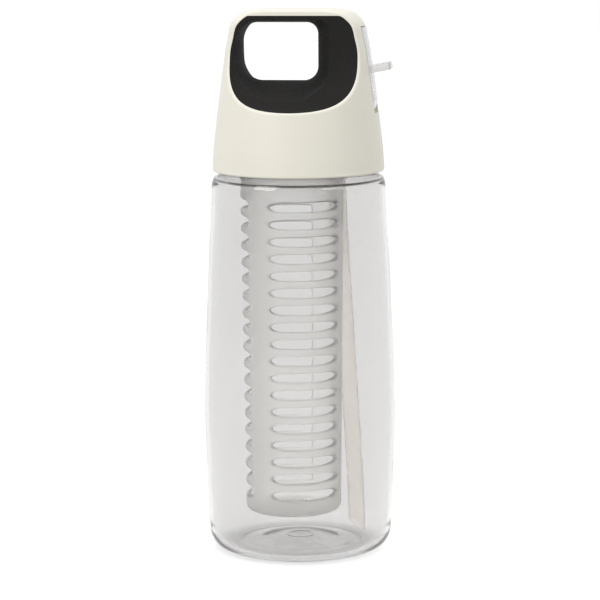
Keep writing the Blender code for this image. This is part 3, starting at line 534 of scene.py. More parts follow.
def on_lid(across, along):
    """A point of the lid's outside from its place in a disc: the rim is the disc's edge, the top its centre."""
    share = 1.0 - math.hypot(across, along)
    heading = math.atan2(along, across)
    radius = float(np.interp(share * LID_LENGTH, LID_ALONG, LID_RADII))
    z = float(np.interp(share * LID_LENGTH, LID_ALONG, LID_HEIGHTS))
    return Vector((radius * math.cos(heading), radius * math.sin(heading), z))


def in_disc(spot):
    """Where a point of the lid's outside lies in that disc, by its height on the side and by its radius on top."""
    radius = math.hypot(spot.x, spot.y)
    if radius > FLAT_TOP_R:
        length = float(np.interp(spot.z, LID_HEIGHTS, LID_ALONG))
    else:
        length = float(np.interp(-radius, -LID_RADII, LID_ALONG))
    share = 1.0 - length / LID_LENGTH
    return Vector((share * spot.x / radius, share * spot.y / radius))


def scoop_spot(x, down, depth):
    """A point of the front scoop, or of a skin this deep behind it, from its distance down the scoop's curve."""
    if depth not in SCOOPS:
        turn = np.linspace(0.0, math.pi / 2, 300)
        y = np.concatenate(([SCOOP_FLAT - depth], SCOOP_AXIS_Y - (SCOOP_REACH + depth) * np.cos(turn)))
        z = np.concatenate(([SCOOP_START_Z], SCOOP_TURN_Z - (SCOOP_H + depth) * np.sin(turn)))
        SCOOPS[depth] = np.concatenate(([0.0], np.cumsum(np.hypot(np.diff(y), np.diff(z))))), y, z
    length, y, z = SCOOPS[depth]
    return Vector((x, -float(np.interp(down, length, y)), float(np.interp(down, length, z))))


def in_hole(x, y, z, spread):
    """Whether a point lies in the finger hole, widened by spread. The hole flares from the middle plane outwards."""
    near = min(1.0, abs(y) / SCOOP_FLAT) ** 2
    far = (math.hypot(1.0, y / FLARE_EASE) - 1.0) / (math.hypot(1.0, FLARE_REACH / FLARE_EASE) - 1.0)
    right = HOLE_RIGHT + EASE_RIGHT * near + spread
    left = HOLE_LEFT - EASE_LEFT * near - spread
    top = HOLE_TOP + EASE_TOP * near + spread
    bottom = HOLE_BOTTOM - FLARE_BOTTOM * far - spread
    if not (left < x < right and bottom < z < top):
        return False
    edges = ((right, top, -1, -1), (left, top, 1, -1), (left, bottom, 1, 1), (right, bottom, -1, 1))
    for (edge_x, edge_z, way_x, way_z), (size, grow_near, grow_far) in zip(edges, HOLE_CORNERS):
        radius = size + grow_near * near + grow_far * far + spread
        past_x = (edge_x + way_x * radius - x) * way_x
        past_z = (edge_z + way_z * radius - z) * way_z
        if past_x > 0.0 and past_z > 0.0 and math.hypot(past_x, past_z) > radius:
            return False
    return True


def edge_along(inside, centre, heading):
    """The last point from a centre along a heading where the inside test holds, found by halving."""
    low, high = 0.0, SEARCH_REACH
    way = math.cos(heading), math.sin(heading)
    for _ in range(HALVINGS):
        middle = (low + high) / 2
        if inside(centre[0] + middle * way[0], centre[1] + middle * way[1]):
            low = middle
        else:
            high = middle
    return centre[0] + low * way[0], centre[1] + low * way[1]


def outline_in_scoop(inset, drop, depth):
    """The edge of what a skin of the lid leaves of the scoop, as (x, distance down the scoop)."""

    def inside(x, down):
        spot = scoop_spot(x, down, depth)
        return 0.0 < down and spot.z < LID_TOP - drop and math.hypot(spot.x, spot.y) < lid_radius(spot.z, inset)

    return [edge_along(inside, SCOOP_MIDDLE, heading) for heading in HEADINGS]


def crease_in_scoop(depth):
    """Where the finger hole meets the scoop, as (x, distance down the scoop)."""

    def inside(x, down):
        spot = scoop_spot(x, down, depth)
        return abs(spot.y) < SCOOP_END_Y and in_hole(spot.x, spot.y, spot.z, depth)

    return [edge_along(inside, SCOOP_MIDDLE, heading) for heading in HEADINGS]


def hole_ring(crease, share, depth):
    """The hole's section this share of the way from the crease to the middle plane."""
    ring = []
    for spot in crease:
        y = spot.y * (1.0 - share)
        heading = math.atan2(spot.z - HOLE_MIDDLE[1], spot.x - HOLE_MIDDLE[0])
        x, z = edge_along(lambda a, b: in_hole(a, y, b, depth), HOLE_MIDDLE, heading)
        ring.append(Vector((x, y, z)))
    return ring


def scoop_rings(outline, crease, depth, steps):
    """Rings on the scoop from an outline to the crease, with the last two close together."""
    shares = [step / steps for step in range(steps)] + [1.0 - 0.35 / steps, 1.0]
    rings = []
    for share in shares:
        ring = [(a[0] + (b[0] - a[0]) * share, a[1] + (b[1] - a[1]) * share) for a, b in zip(outline, crease)]
        rings.append([scoop_spot(x, down, depth) for x, down in ring])
    return rings


def middle_line(disc_ring):
    """Points on the lid's middle plane and rim, each straight out from the scoop past a point of its lip."""
    centre = (0.0, -0.4)  # in the disc, inside the scoop

    def inside(across, along):
        return along < 0.0 and math.hypot(across, along) < 1.0

    line = []
    for spot in disc_ring:
        heading = math.atan2(spot.y - centre[1], spot.x - centre[0])
        line.append(Vector(edge_along(inside, centre, heading)))
    for corner in (Vector((1.0, 0.0)), Vector((-1.0, 0.0))):
        nearest = min(range(len(line)), key=lambda index: (line[index] - corner).length)
        line[nearest] = corner
    for spot in line:
        if abs(spot.y) < 1e-4:
            spot.y = 0.0
    return line


# Lid


def shell_outside(lip):
    """Rings over the front half of the lid's outside, from the middle plane and the rim to the scoop's lip."""
    disc_lip = [in_disc(spot) for spot in lip]
    disc_edge = middle_line(disc_lip)
    rings = []
    for row in range(SHELL_ROWS + 1):
        ring = []
        for edge, end in zip(disc_edge, disc_lip):
            share = row / SHELL_ROWS * (1.0 - LIP_GAP / max(4.0, LID_LENGTH * (end - edge).length))
            ring.append(on_lid(*edge.lerp(end, share)))
        rings.append(ring)
    return rings


def add_skirt(shell):
    """Rounds the lid's rim and carries it on up the inside, up to a flat ceiling."""
    near = LID_RIM_Z + 0.5
    rim = [line for line in shell.edges if line.is_boundary and all(spot.co.z < near for spot in line.verts)]
    level = LID_RIM_Z + LID_RIM_ROUND
    for spot in shell.verts:
        if spot.co.z < level:
            spot.co.z = level
    rounding = []
    for angle in (0.4, 0.8, 1.2, 1.5708):
        radius = LID_RIM_R - LID_RIM_ROUND + LID_RIM_ROUND * math.cos(angle)
        rounding.append((radius, level - LID_RIM_ROUND * math.sin(angle)))
    rim = carried_on(shell, rim, rounding + list(SKIRT_BORE))
    bmesh.ops.holes_fill(shell, edges=rim, sides=0)
    face_out(shell)


def make_shell():
    """The cream outer lid with the pocket for the lining, the room for the insert and the spout's recess."""
    lip = [scoop_spot(x, down, 0.0) for x, down in outline_in_scoop(0.0, 0.0, 0.0)]
    outside = shell_outside(lip)
    land = [scoop_spot(x, down, 0.0) for x, down in outline_in_scoop(LAND_INSET, LAND_DROP, 0.0)]
    pocket = outline_in_scoop(LAND_INSET, LAND_DROP, POCKET_DEPTH)
    floor = scoop_rings(pocket, crease_in_scoop(POCKET_DEPTH), POCKET_DEPTH, 4)
    hollow = [hole_ring(floor[-1], share, POCKET_DEPTH) for share in (0.25, 0.5, 0.75, 1.0)]
    for spot in hollow[-1]:
        spot.y = 0.0
    shell = lofted(outside + [lip, land] + floor + hollow, soft=((SHELL_ROWS + 1, LIP_ROUND),))
    both_halves(shell)
    add_skirt(shell)

    low_room = combined(spun(ROOM_OUTLINE, 96), "DIFFERENCE", block(*ROOM_END))
    cuts = (low_room, block(*DUCT_ROOM), spout_recess(), block(*SEAT_POCKET), pivot_rod(SOCKET_END, SOCKET_R))
    shell = combined(shell, "DIFFERENCE", *cuts)
    add_piece("lid_shell_cone", shell, "lid", "lid_shell", CREAM, 35.0)


def make_lining():
    """The soft lining of both scoops and of the finger hole, in one piece."""
    outline = outline_in_scoop(LINING_INSET, LINING_DROP, 0.0)
    face = scoop_rings(outline, crease_in_scoop(0.0), 0.0, 12)
    hole = [hole_ring(face[-1], share, 0.0) for share in (0.06, 0.2, 0.35, 0.5, 0.65, 0.8, 0.9, 1.0)]
    outline = outline_in_scoop(LINING_INSET, LINING_DROP, LINING_THICK)
    behind = scoop_rings(outline, crease_in_scoop(LINING_THICK), LINING_THICK, 4)
    hole_behind = [hole_ring(behind[-1], share, LINING_THICK) for share in (0.33, 0.66, 1.0)]
    for spot in hole[-1] + hole_behind[-1]:
        spot.y = 0.0
    first = len(hole_behind) + len(behind)
    soft = ((first, LINING_EDGE_ROUND), (first + len(face) - 1, LINING_CREASE_ROUND))
    lining = lofted(hole_behind[::-1] + behind[::-1] + face + hole, soft)
    both_halves(lining)
    add_piece("handle_lining", lining, "lid", "handle_grip", SOFT_BLACK, 50.0)


# Spout


def spout_side(depth, mouth_r):
    """Side view of the spout's plate: over its mouth, which is round about the pivot, and down its back."""
    back = lid_radius(MOUTH_Z) - depth
    first = math.degrees(math.acos((SPOUT_SIDE_X - PIVOT[0]) / mouth_r))
    last = math.degrees(math.acos((back - PIVOT[0]) / mouth_r))
    mouth = arc(PIVOT, mouth_r, first, last, 12)
    top = mouth[-1][1]
    rows = [SPOUT_BACK_Z + (top - SPOUT_BACK_Z) * step / 16 for step in range(16)]
    return mouth + [(lid_radius(z) - depth, z) for z in rows[::-1]]


def spout_recess():
    """The hollow that the stowed spout fills, a little wider and deeper than the spout."""
    under = arc(PIVOT, RECESS_FOOT_R, 180.0, 270.0, 12) + list(RECESS_TOE)
    outline = [(SPOUT_SIDE_X, under[-1][1])] + spout_side(RECESS_DEPTH, RECESS_MOUTH_R) + under
    return slab(outline, RECESS_HALF)


def skin_of_lid(proud):
    """The lid's outside as one solid, grown by how far it stands proud."""
    outline = [(radius + proud, z) for radius, z in LID_LINE if radius > 0.0]
    return spun([(0.0, SKIN_FOOT_Z), (SKIN_FOOT_R, SKIN_FOOT_Z)] + outline + [(0.0, LID_TOP + proud)], 288)


def make_spout():
    """The plate that follows the lid's outside, with its barrel, stubs and duct, and the thumb tab."""
    outline = [SPOUT_TOE, (SPOUT_SIDE_X, SPOUT_TOE[1])] + spout_side(PLATE_DEPTH, PLATE_MOUTH_R)
    outline.append((PIVOT[0] - BARREL_BACK, PIVOT[1]))
    plate = combined(slab(outline, SPOUT_HALF), "INTERSECT", skin_of_lid(SPOUT_PROUD))
    barrel = pivot_rod(SPOUT_HALF, BARREL_R, 64, 0.4)
    spout = combined(plate, "UNION", barrel, pivot_rod(STUB_END, STUB_R, 32, 0.3))
    mouth = Vector((lid_radius(MOUTH_Z) - MOUTH_DEPTH, 0.0, MOUTH_Z))
    pivot = Vector((PIVOT[0], 0.0, PIVOT[1]))
    bore = rod(pivot, mouth + (mouth - pivot).normalized(), DUCT_R, 32)
    port_way = Vector((-math.cos(PORT_TILT), 0.0, -math.sin(PORT_TILT)))
    port = rod(pivot, pivot + port_way * PORT_LENGTH, DUCT_R, 32)
    spout = combined(spout, "DIFFERENCE", bore, port)
    add_piece("flip_spout_plate", spout, "spout", "flip_spout", PALE_SPOUT, 30.0)
    add_piece("flip_spout_tab", thumb_tab(), "spout", "flip_spout", CLEAR_TAB, 30.0)


def thumb_tab():
    """A plate with rounded corners and edges that stands out from the spout's face."""
    root = lid_radius(TAB_Z) - TAB_SUNK
    slope = math.radians(TAB_SLOPE)
    length = (TAB_TIP_X - root) / math.cos(slope)
    shape = block((0.0, -TAB_HALF, -TAB_HALF_THICK), (length, TAB_HALF, TAB_HALF_THICK))
    upright = [line for line in shape.edges if abs((line.verts[0].co - line.verts[1].co).normalized().z) > 0.9]
    soften(shape, [line for line in upright if line.verts[0].co.x > 1.0], TAB_CORNER, 6)
    sharp = [line for line in shape.edges if line.calc_face_angle() > 1.0]
    soften(shape, [line for line in sharp if line.verts[0].co.x + line.verts[1].co.x > 1.0], TAB_EDGE, 3)
    place = Matrix.Translation((root, 0.0, TAB_Z)) @ Matrix.Rotation(-slope, 4, "Y")
    bmesh.ops.transform(shape, matrix=place, verts=shape.verts)
    return shape


# Body


def body_outside(side):
    """From the neck's lip over the collar and down the outside to the middle of the pushed-up base."""
    neck = arc((30.95, NECK_LIP_Z), NECK_LIP_ROUND, 90.0, 0.0, 4) + arc((32.6, 173.6), 1.0, 180.0, 225.0, 3)
    shoulder = arc((36.963, 167.087), 0.8, 75.0, 32.0, 4) + arc((30.728, 163.487), 8.0, 30.0, 7.0, 8)
    corner = arc((31.9, 9.0), 9.0, 0.0, -90.0, 14)[1:]
    dome = [(27.9, 0.0), (27.2, 0.25)] + [(spot.x, spot.y) for spot in smooth_line(BODY_DOME, 4)]
    return neck + list(BODY_COLLAR) + shoulder + side + corner + dome + list(BODY_NAVEL)


def body_inside(side):
    """From the middle of the floor up the inside to the neck's lip."""
    corner = arc((31.9, 9.5), 7.2, -85.0, 0.0, 14)
    wall = [(radius - BODY_WALL, z) for radius, z in side[::-1] if 12.0 < z < 164.5]
    shoulder = arc((36.1, 165.7), 1.1, 8.0, 60.0, 4) + list(COLLAR_INSIDE)
    neck = arc((30.7, 172.7), 1.3, 240.0, 180.0, 4) + [(29.4, NECK_LIP_Z)]
    lip = arc((30.05, NECK_LIP_Z), NECK_LIP_ROUND, 180.0, 90.0, 4)[1:]
    return list(BODY_FLOOR) + corner + wall + shoulder + neck + lip


def make_body():
    """The clear body: one wall turned about the axis, and the neck's thread."""
    side = [(min(spot.x, BODY_R), spot.y) for spot in smooth_line(BODY_SIDE, 5)]
    body = spun(body_inside(side) + body_outside(side), 192)
    add_thread(body)
    add_piece("bottle_body_clear", body, "bottle", "bottle_body", CLEAR_BODY, 35.0)


def add_thread(body):
    """A ridge that runs one and a half turns up the neck."""
    spots = [body.verts.new((radius, 0.0, z)) for radius, z in THREAD_SECTION]
    face = body.faces.new(spots)
    steps = 72
    bmesh.ops.spin(
        body,
        geom=[face] + spots + list(face.edges),
        cent=(0.0, 0.0, 0.0),
        axis=(0.0, 0.0, 1.0),
        dvec=(0.0, 0.0, THREAD_PITCH * THREAD_TURNS / steps),
        angle=2 * math.pi * THREAD_TURNS,
        steps=steps,
    )
    face_out(body)


# Straw


def make_straw():
    """A tube along its soft bends, cut at a slant at the foot."""
    points = [(*STRAW_TOP, STRAW_TOP_Z)]
    for down, across in STRAW_BENDS:
        place = Vector(STRAW_TOP).lerp(Vector(STRAW_FOOT), across)
        points.append((place.x, place.y, STRAW_BEND_Z - (STRAW_BEND_Z - STRAW_FOOT_Z) * down))
    line = smooth_line(points, 8)
    shape = bmesh.new()
    bmesh.ops.create_circle(shape, segments=40, radius=STRAW_R)
    ring = list(shape.edges)
    bmesh.ops.translate(shape, verts=shape.verts, vec=line[0])
    for before, here in zip(line, line[1:]):
        grown = bmesh.ops.extrude_edge_only(shape, edges=ring)
        ring = made_of(BMEdge, grown)
        bmesh.ops.translate(shape, verts=made_of(BMVert, grown), vec=here - before)
    bmesh.ops.bisect_plane(
        shape,
        geom=shape.verts[:] + shape.edges[:] + shape.faces[:],
        plane_co=(*STRAW_FOOT, STRAW_FOOT_Z + STRAW_R * math.tan(STRAW_SLANT)),
        plane_no=(-math.sin(STRAW_SLANT), 0.0, -math.cos(STRAW_SLANT)),
        clear_outer=True,
    )
    face_out(shape)
    straw = worked(
        shape,
        ("SOLIDIFY", {"thickness": STRAW_WALL, "offset": -1.0, "use_even_offset": True}),
        ("BEVEL", {"width": 0.18, "segments": 2, "limit_method": "ANGLE", "angle_limit": math.radians(50.0)}),
    )
    add_piece("straw_tube", straw, "lid", "straw", WARM_STRAW, 40.0)


# Basket


def basket_radius(z):
    """Radius of the basket's outside at a height."""
    share = min(1.0, max(0.0, (z - BASKET_FOOT_Z) / BASKET_TAPER_H))
    return BASKET_FOOT_R + (BASKET_TOP_R - BASKET_FOOT_R) * share


def slot_cell(column):
    """Rings from the border of one slot's share of the wall to its rim, through it, and out to the border again."""
    low, high = column["ends"]
    rim_up, rim_along, rim_in = column["rim"]
    tapers = column["tapers"]
    level_low = low + tapers[0] / SLOT_MM
    level_high = high - tapers[1] / SLOT_MM
    path = [(0.0, 1.0), (0.36, 1.0), (0.7, 1.0), (1.0, 1.0), (1.0, 0.66), (1.0, 0.33)]
    path += [(1.0, 0.0)] + [(x, -y) for x, y in path[:0:-1]]

    def sides():
        yield 1, level_low, level_high, tapers[1], high + CELL_PAST_SLOT
        yield -1, level_high, level_low, tapers[0], low - CELL_PAST_SLOT

    def straight(start, end, y):
        steps = SLOT_STRAIGHT_STEPS
        return [(start + (end - start) * step / steps, y) for step in range(steps)]

    def raised(ring, depth):
        return [Vector((x, y + column["rise"], depth)) for x, y in ring]

    def border(depth):
        ring = []
        for way, start, end, _, far in sides():
            ring += straight(start, end, way * SLOT_PITCH / 2)
            ring += [(end + (far - end) * x, way * y * SLOT_PITCH / 2) for x, y in path]
        return raised(ring, depth)

    def outline(up, along, depth):
        ring = []
        height = column["half"] + up
        for way, start, end, taper, _ in sides():
            ring += straight(start, end, way * height)
            for step in range(SLOT_TURN_STEPS):
                angle = math.pi / 2 - math.pi * step / SLOT_TURN_STEPS
                across = way * (taper + along) * math.cos(angle) / SLOT_MM
                ring.append((end + across, way * height * math.sin(angle)))
        return raised(ring, depth)

    rings = [border(0.0)]
    for angle in (0.0, 22.5, 45.0, 67.5, 90.0):
        out = 1.0 - math.sin(math.radians(angle))
        rings.append(outline(rim_up * out, rim_along * out, rim_in * (1.0 - math.cos(math.radians(angle)))))
    return rings + [outline(0.0, 0.0, 1.5), outline(0.2, 0.3, BASKET_WALL), border(BASKET_WALL)]


def plain_strip(start, end, rises, depth):
    """The wall between two columns of slots, unrolled, with the same heights on its edges as the cells."""
    shape = bmesh.new()
    across = max(2, round((end - start) / STRIP_STEP))
    each = len(STRIP_SHARES)
    up = each * SLOT_ROWS
    bmesh.ops.create_grid(shape, x_segments=across, y_segments=up, size=1.0)
    for spot in shape.verts:
        row = round((spot.co.y + 1.0) / 2.0 * up)
        height = (row // each) * SLOT_PITCH + STRIP_SHARES[row % each] * SLOT_PITCH / 2
        share = (spot.co.x + 1.0) / 2.0
        rise = rises[0] + (rises[1] - rises[0]) * share
        spot.co = (start + (end - start) * share, height + rise, depth)
    return shape


def slotted_wall():
    """The basket's wall where it has slots, made flat in degrees along x and height along y, then rolled up."""
    sheets = []
    for number, column in enumerate(SLOT_COLUMNS):
        sheet = as_mesh("cell", lofted(slot_cell(column)))
        sheets += [(sheet, row) for row in range(SLOT_ROWS)]
        after = SLOT_COLUMNS[(number + 1) % len(SLOT_COLUMNS)]
        start = column["ends"][1] + CELL_PAST_SLOT
        end = after["ends"][0] - CELL_PAST_SLOT
        while end < start:
            end += 360.0
        for depth in (0.0, BASKET_WALL):
            strip = plain_strip(start, end, (column["rise"], after["rise"]), depth)
            sheets.append((as_mesh("strip", strip), 0))
    shape = bmesh.new()
    for sheet, row in sheets:
        first = len(shape.verts)
        shape.from_mesh(sheet)
        shape.verts.ensure_lookup_table()
        bmesh.ops.translate(shape, verts=shape.verts[first:], vec=(0.0, SLOT_FIRST_Z + SLOT_PITCH * row, 0.0))
    for spot in shape.verts:
        angle = math.radians(spot.co.x - 90.0)
        z = spot.co.y
        radius = basket_radius(z) - spot.co.z
        spot.co = (radius * math.cos(angle), radius * math.sin(angle), z)
    weld(shape, BASKET_WELD)
    return shape


def open_rim(shape, level, outer):
    """The outer or inner open edge near a level."""
    middle = basket_radius(level) - BASKET_WALL / 2
    return [
        line
        for line in shape.edges
        if line.is_boundary
        and all(abs(spot.co.z - level) < 2.0 for spot in line.verts)
        and (math.hypot(line.verts[0].co.x, line.verts[0].co.y) > middle) == outer
    ]


def make_basket():
    """The slotted wall with a plain collar above it and a rounded foot with drain holes below it."""
    shape = slotted_wall()
    wall = BASKET_WALL
    low = SLOT_FIRST_Z - SLOT_PITCH / 2
    high = SLOT_FIRST_Z + SLOT_PITCH * (SLOT_ROWS - 0.5)
    collar = [(basket_radius(z), z) for z in (161.0, 165.0, 178.0, 191.6)]
    collar += [(BASKET_TOP_R - BASKET_EDGE, BASKET_TOP_Z), (BASKET_TOP_R - wall + BASKET_EDGE, BASKET_TOP_Z)]
    collar += [(basket_radius(z) - wall, z) for z in (191.6, 178.0, 165.0)]
    above = carried_on(shape, open_rim(shape, high, outer=True), collar)
    bmesh.ops.bridge_loops(shape, edges=above + open_rim(shape, high, outer=False))
    centre = (BASKET_FOOT_R - FOOT_ROUND, FOOT_ROUND_Z)
    foot = [(basket_radius(22.5), 22.5)] + arc(centre, FOOT_ROUND, 0.0, -90.0, 8)
    foot += [(radius, BASKET_FOOT_Z) for radius in FLOOR_RINGS]
    inside = [(basket_radius(22.5) - wall, 22.5)] + arc(centre, FOOT_ROUND_INSIDE, 0.0, -90.0, 6)
    inside += [(radius, BASKET_FLOOR_Z) for radius in FLOOR_RINGS]
    for rings, outer in ((foot, True), (inside, False)):
        rim = carried_on(shape, open_rim(shape, low, outer), rings)
        bmesh.ops.holes_fill(shape, edges=rim, sides=0)
    weld(shape, BASKET_WELD)
    face_out(shape)
    bmesh.ops.translate(shape, verts=shape.verts, vec=(*BASKET, 0.0))
    drains = []
    for index in range(DRAINS):
        angle = math.pi * index / (DRAINS / 2)
        place = (BASKET[0] + DRAIN_RING_R * math.cos(angle), BASKET[1] + DRAIN_RING_R * math.sin(angle))
        drains.append(rod((*place, DRAIN_FROM_Z), (*place, DRAIN_TO_Z), DRAIN_R, 24))
    basket = combined(shape, "DIFFERENCE", *drains)
    add_piece("infuser_basket_wall", basket, "infuser", "infuser_basket", FROSTED, 45.0)


# Finishes


def ranged(nodes, links, source, **limits):
    """A value carried from one range to another."""
    made = nodes.new("ShaderNodeMapRange")
    for socket, value in limits.items():
        made.inputs[socket.replace("_", " ")].default_value = value
    links.new(source, made.inputs["Value"])
    return made.outputs["Result"]


def reckoned(nodes, links, operation, first, second):
    """What a maths operation gives for two values."""
    made = nodes.new("ShaderNodeMath")
    made.operation = operation
    links.new(first, made.inputs[0])
    links.new(second, made.inputs[1])
    return made.outputs["Value"]


class Finish:
    """A material whose colour, roughness and bump come from noise through the piece."""

    def __init__(self, name):
        self.material = bpy.data.materials.new(name)
        self.material.use_nodes = True
        self.nodes = self.material.node_tree.nodes
        self.links = self.material.node_tree.links
        self.shader = self.nodes["Principled BSDF"]
        self.place = self.nodes.new("ShaderNodeTexCoord").outputs["Object"]

    def noise(self, scale, detail=3.0):
        """Soft noise through the piece. A higher scale makes it finer."""
        made = self.nodes.new("ShaderNodeTexNoise")
        made.inputs["Scale"].default_value = scale
        made.inputs["Detail"].default_value = detail
        self.links.new(self.place, made.inputs["Vector"])
        return made.outputs["Fac"]

    def spread(self, source, low, high):
        """Noise, which stays mostly between 0.3 and 0.7, spread from low to high."""
        return ranged(self.nodes, self.links, source, From_Min=0.3, From_Max=0.7, To_Min=low, To_Max=high)

    def colour(self, source, first, second):
        """A colour between two others."""
        made = self.nodes.new("ShaderNodeMix")
        made.data_type = "RGBA"
        made.inputs["A"].default_value = (*first, 1.0)
        made.inputs["B"].default_value = (*second, 1.0)
        self.links.new(self.spread(source, 0.0, 1.0), made.inputs["Factor"])
        self.links.new(made.outputs["Result"], self.shader.inputs["Base Color"])

    def roughness(self, source, low, high):
        """A roughness between two values."""
        self.links.new(self.spread(source, low, high), self.shader.inputs["Roughness"])

    def bump(self, source, strength, distance):
        """A grain in the surface."""
        made = self.nodes.new("ShaderNodeBump")
        made.inputs["Strength"].default_value = strength
        made.inputs["Distance"].default_value = distance
        self.links.new(source, made.inputs["Height"])
        self.links.new(made.outputs["Normal"], self.shader.inputs["Normal"])

    def clear_shadow(self, tint):
        """Lets light through to what is inside, tinted, where a lamp's shadow would be black."""
        clear = self.nodes.new("ShaderNodeBsdfTransparent")
        clear.inputs["Color"].default_value = (*tint, 1.0)
        path = self.nodes.new("ShaderNodeLightPath")
        mix = self.nodes.new("ShaderNodeMixShader")
        self.links.new(path.outputs["Is Shadow Ray"], mix.inputs["Fac"])
        self.links.new(self.shader.outputs["BSDF"], mix.inputs[1])
        self.links.new(clear.outputs["BSDF"], mix.inputs[2])
        self.links.new(mix.outputs["Shader"], self.nodes["Material Output"].inputs["Surface"])

    def set(self, **values):
        """Plain values for the shader's other inputs. It gives the finished material back."""
        for socket, value in values.items():
            self.shader.inputs[socket.replace("_", " ")].default_value = value
        return self.material


def moulded(name, first, second, rough, grain, depth, **values):
    """An opaque moulded plastic or rubber with a fine grain."""
    made = Finish(name)
    made.colour(made.noise(60.0), first, second)
    made.roughness(made.noise(grain / 4, 2.0), *rough)
    made.bump(made.noise(grain, 4.0), 0.35, depth)
    return made.set(**values)


def clear_plastic(name, first, second, rough, tint, **values):
    """A clear plastic with slight waves in its surface."""
    made = Finish(name)
    made.colour(made.noise(35.0), first, second)
    made.roughness(made.noise(90.0, 2.0), *rough)
    made.bump(made.noise(55.0, 1.0), 0.12, 0.0003)
    made.clear_shadow(tint)
    return made.set(Transmission_Weight=1.0, IOR=1.49, **values)


def satin_clear(name, first, second, rough, tint, **values):
    """A plastic with a matt surface that lets light through."""
    made = Finish(name)
    made.colour(made.noise(50.0), first, second)
    made.roughness(made.noise(120.0, 2.0), *rough)
    made.bump(made.noise(70.0, 1.0), 0.05, 0.00005)
    made.clear_shadow(tint)
    return made.set(**values)


CREAM = moulded(
    "cream_plastic",
    (0.797, 0.772, 0.678),
    (0.782, 0.757, 0.66),
    (0.33, 0.42),
    1500.0,
    0.00006,
    Specular_IOR_Level=0.45,
)
SOFT_BLACK = moulded(
    "black_soft_touch",
    (0.017, 0.0164, 0.0155),
    (0.0133, 0.0128, 0.0122),
    (0.7, 0.82),
    2600.0,
    0.00008,
    Specular_IOR_Level=0.12,
)
CREAM_INNER = moulded(
    "cream_inner_plastic",
    (0.74, 0.72, 0.65),
    (0.725, 0.705, 0.63),
    (0.38, 0.46),
    1500.0,
    0.00005,
)
DUCT_PLASTIC = moulded(
    "duct_plastic",
    (0.74, 0.73, 0.68),
    (0.72, 0.71, 0.66),
    (0.36, 0.46),
    1200.0,
    0.00005,
)
SILICONE = moulded(
    "milky_silicone",
    (0.75, 0.75, 0.74),
    (0.71, 0.71, 0.70),
    (0.42, 0.55),
    1800.0,
    0.00006,
    Subsurface_Weight=0.3,
    Subsurface_Scale=0.002,
)
CLEAR_BODY = clear_plastic(
    "clear_body_plastic",
    (0.79, 0.786, 0.783),
    (0.775, 0.77, 0.767),
    (0.0, 0.03),
    (0.98, 0.98, 0.98),
    Specular_IOR_Level=0.75,
)
PALE_SPOUT = satin_clear(
    "pale_spout_plastic",
    (0.95, 0.95, 0.96),
    (0.93, 0.93, 0.94),
    (0.1, 0.18),
    (0.95, 0.95, 0.95),
    Transmission_Weight=0.3,
    IOR=1.49,
)
CLEAR_TAB = satin_clear(
    "clear_tab_plastic",
    (0.70, 0.695, 0.68),
    (0.68, 0.675, 0.66),
    (0.1, 0.15),
    (0.9, 0.9, 0.9),
    Transmission_Weight=0.95,
    IOR=1.49,
)
WARM_STRAW = satin_clear(
    "warm_straw_plastic",
    (0.995, 0.968, 0.943),
    (0.985, 0.955, 0.93),
    (0.16, 0.24),
    (0.97, 0.95, 0.94),
    Transmission_Weight=0.9,
    IOR=1.33,
)
FROSTED = satin_clear(
    "frosted_plastic",
    (0.999, 0.993, 0.979),
    (0.996, 0.989, 0.975),
    (0.31, 0.39),
    (0.97, 0.97, 0.96),
    Transmission_Weight=0.95,
    IOR=1.36,
)


def finish_nodes():
    """Gives the frame's own pieces that stay in view their finishes."""
    finishes = {
        "lid_insert": CREAM_INNER,
        "seal_ring": SILICONE,
        "duct_cover": DUCT_PLASTIC,
        "spout_seat": SILICONE,
        "vent_valve": SILICONE,
    }
    for name, finish in finishes.items():
        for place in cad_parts[name].material_slots:
            place.material = finish


# Studio


def seen_ray(nodes, links):
    """1 for what the camera, a reflection or a clear piece sees, 0 for light on the object."""
    path = nodes.new("ShaderNodeLightPath").outputs
    first = reckoned(nodes, links, "MAXIMUM", path["Is Camera Ray"], path["Is Glossy Ray"])
    return reckoned(nodes, links, "MAXIMUM", first, path["Is Transmission Ray"])


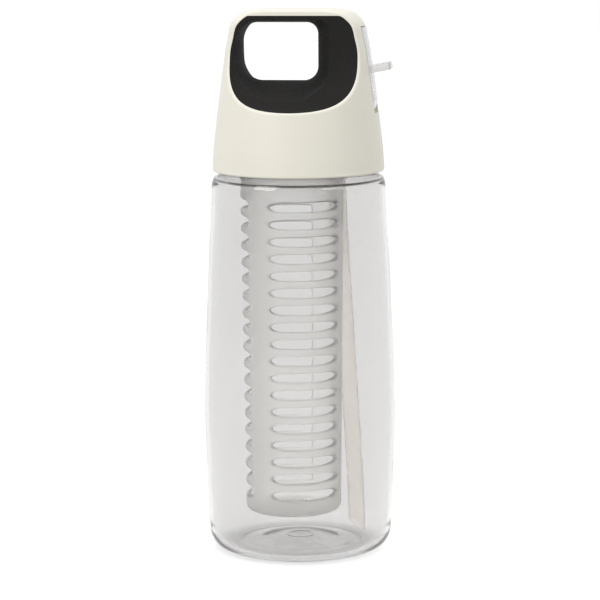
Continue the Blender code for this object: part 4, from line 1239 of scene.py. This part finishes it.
def add_world():
    """An even white all round, which lights the object less than it shows."""
    world = bpy.data.worlds.new("studio")
    world.use_nodes = True
    bpy.context.scene.world = world
    nodes = world.node_tree.nodes
    links = world.node_tree.links
    level = ranged(nodes, links, seen_ray(nodes, links), To_Min=WORLD_ON_OBJECT, To_Max=1.0)
    links.new(level, nodes["Background"].inputs["Strength"])
    nodes["Background"].inputs["Color"].default_value = WHITE


def add_lamp(name, place, aim, size, power):
    """A flat lamp that faces a point."""
    data = bpy.data.lights.new(name, "AREA")
    data.shape = "RECTANGLE"
    data.size, data.size_y = size
    data.energy = power
    way = Vector(place) - Vector(aim)
    in_scene(name, data).matrix_world = (
        Matrix.Translation(place) @ way.to_track_quat("Z", "Y").to_matrix().to_4x4()
    )


def add_floor():
    """White paper that stays white where the lamps no longer reach, with painted shade that makes its glow greyer
    under the bottle.
    """
    shape = bmesh.new()
    bmesh.ops.create_grid(shape, x_segments=4, y_segments=4, size=FLOOR_HALF)
    mesh = as_mesh("studio_floor", shape)
    floor = in_scene("studio_floor", mesh)
    paper = Finish("white_paper")
    paper.colour(paper.noise(8.0), (0.60, 0.60, 0.60), (0.59, 0.59, 0.59))
    paper.roughness(paper.noise(20.0), 0.85, 0.95)
    paper.bump(paper.noise(400.0), 0.05, 0.0001)
    nodes = paper.nodes
    links = paper.links
    length = nodes.new("ShaderNodeVectorMath")
    length.operation = "LENGTH"
    links.new(paper.place, length.inputs[0])
    away = length.outputs["Value"]
    lift = ranged(nodes, links, away, From_Min=0.1, From_Max=1.5, To_Min=0.5, To_Max=0.68)
    # Painted contact shadow: the floor's glow drops to 0.45 of itself within the bottle's foot, so the floor reads
    # darker there.
    under = ranged(nodes, links, away, From_Min=0.034, From_Max=0.042, To_Min=0.45)
    glow = reckoned(nodes, links, "MULTIPLY", seen_ray(nodes, links), lift)
    glow = reckoned(nodes, links, "MULTIPLY", glow, under)
    links.new(glow, paper.shader.inputs["Emission Strength"])
    mesh.materials.append(paper.set(Emission_Color=WHITE, Specular_IOR_Level=0.1))


add_camera()
add_world()
for lamp_name, lamp in LAMPS.items():
    add_lamp(lamp_name, *lamp)
add_floor()
make_shell()
make_lining()
make_spout()
make_body()
make_straw()
make_basket()
finish_nodes()

scene = bpy.context.scene
scene.view_settings.view_transform = "Standard"
scene.cycles.max_bounces = 24
scene.cycles.transmission_bounces = 20
scene.cycles.transparent_max_bounces = 24
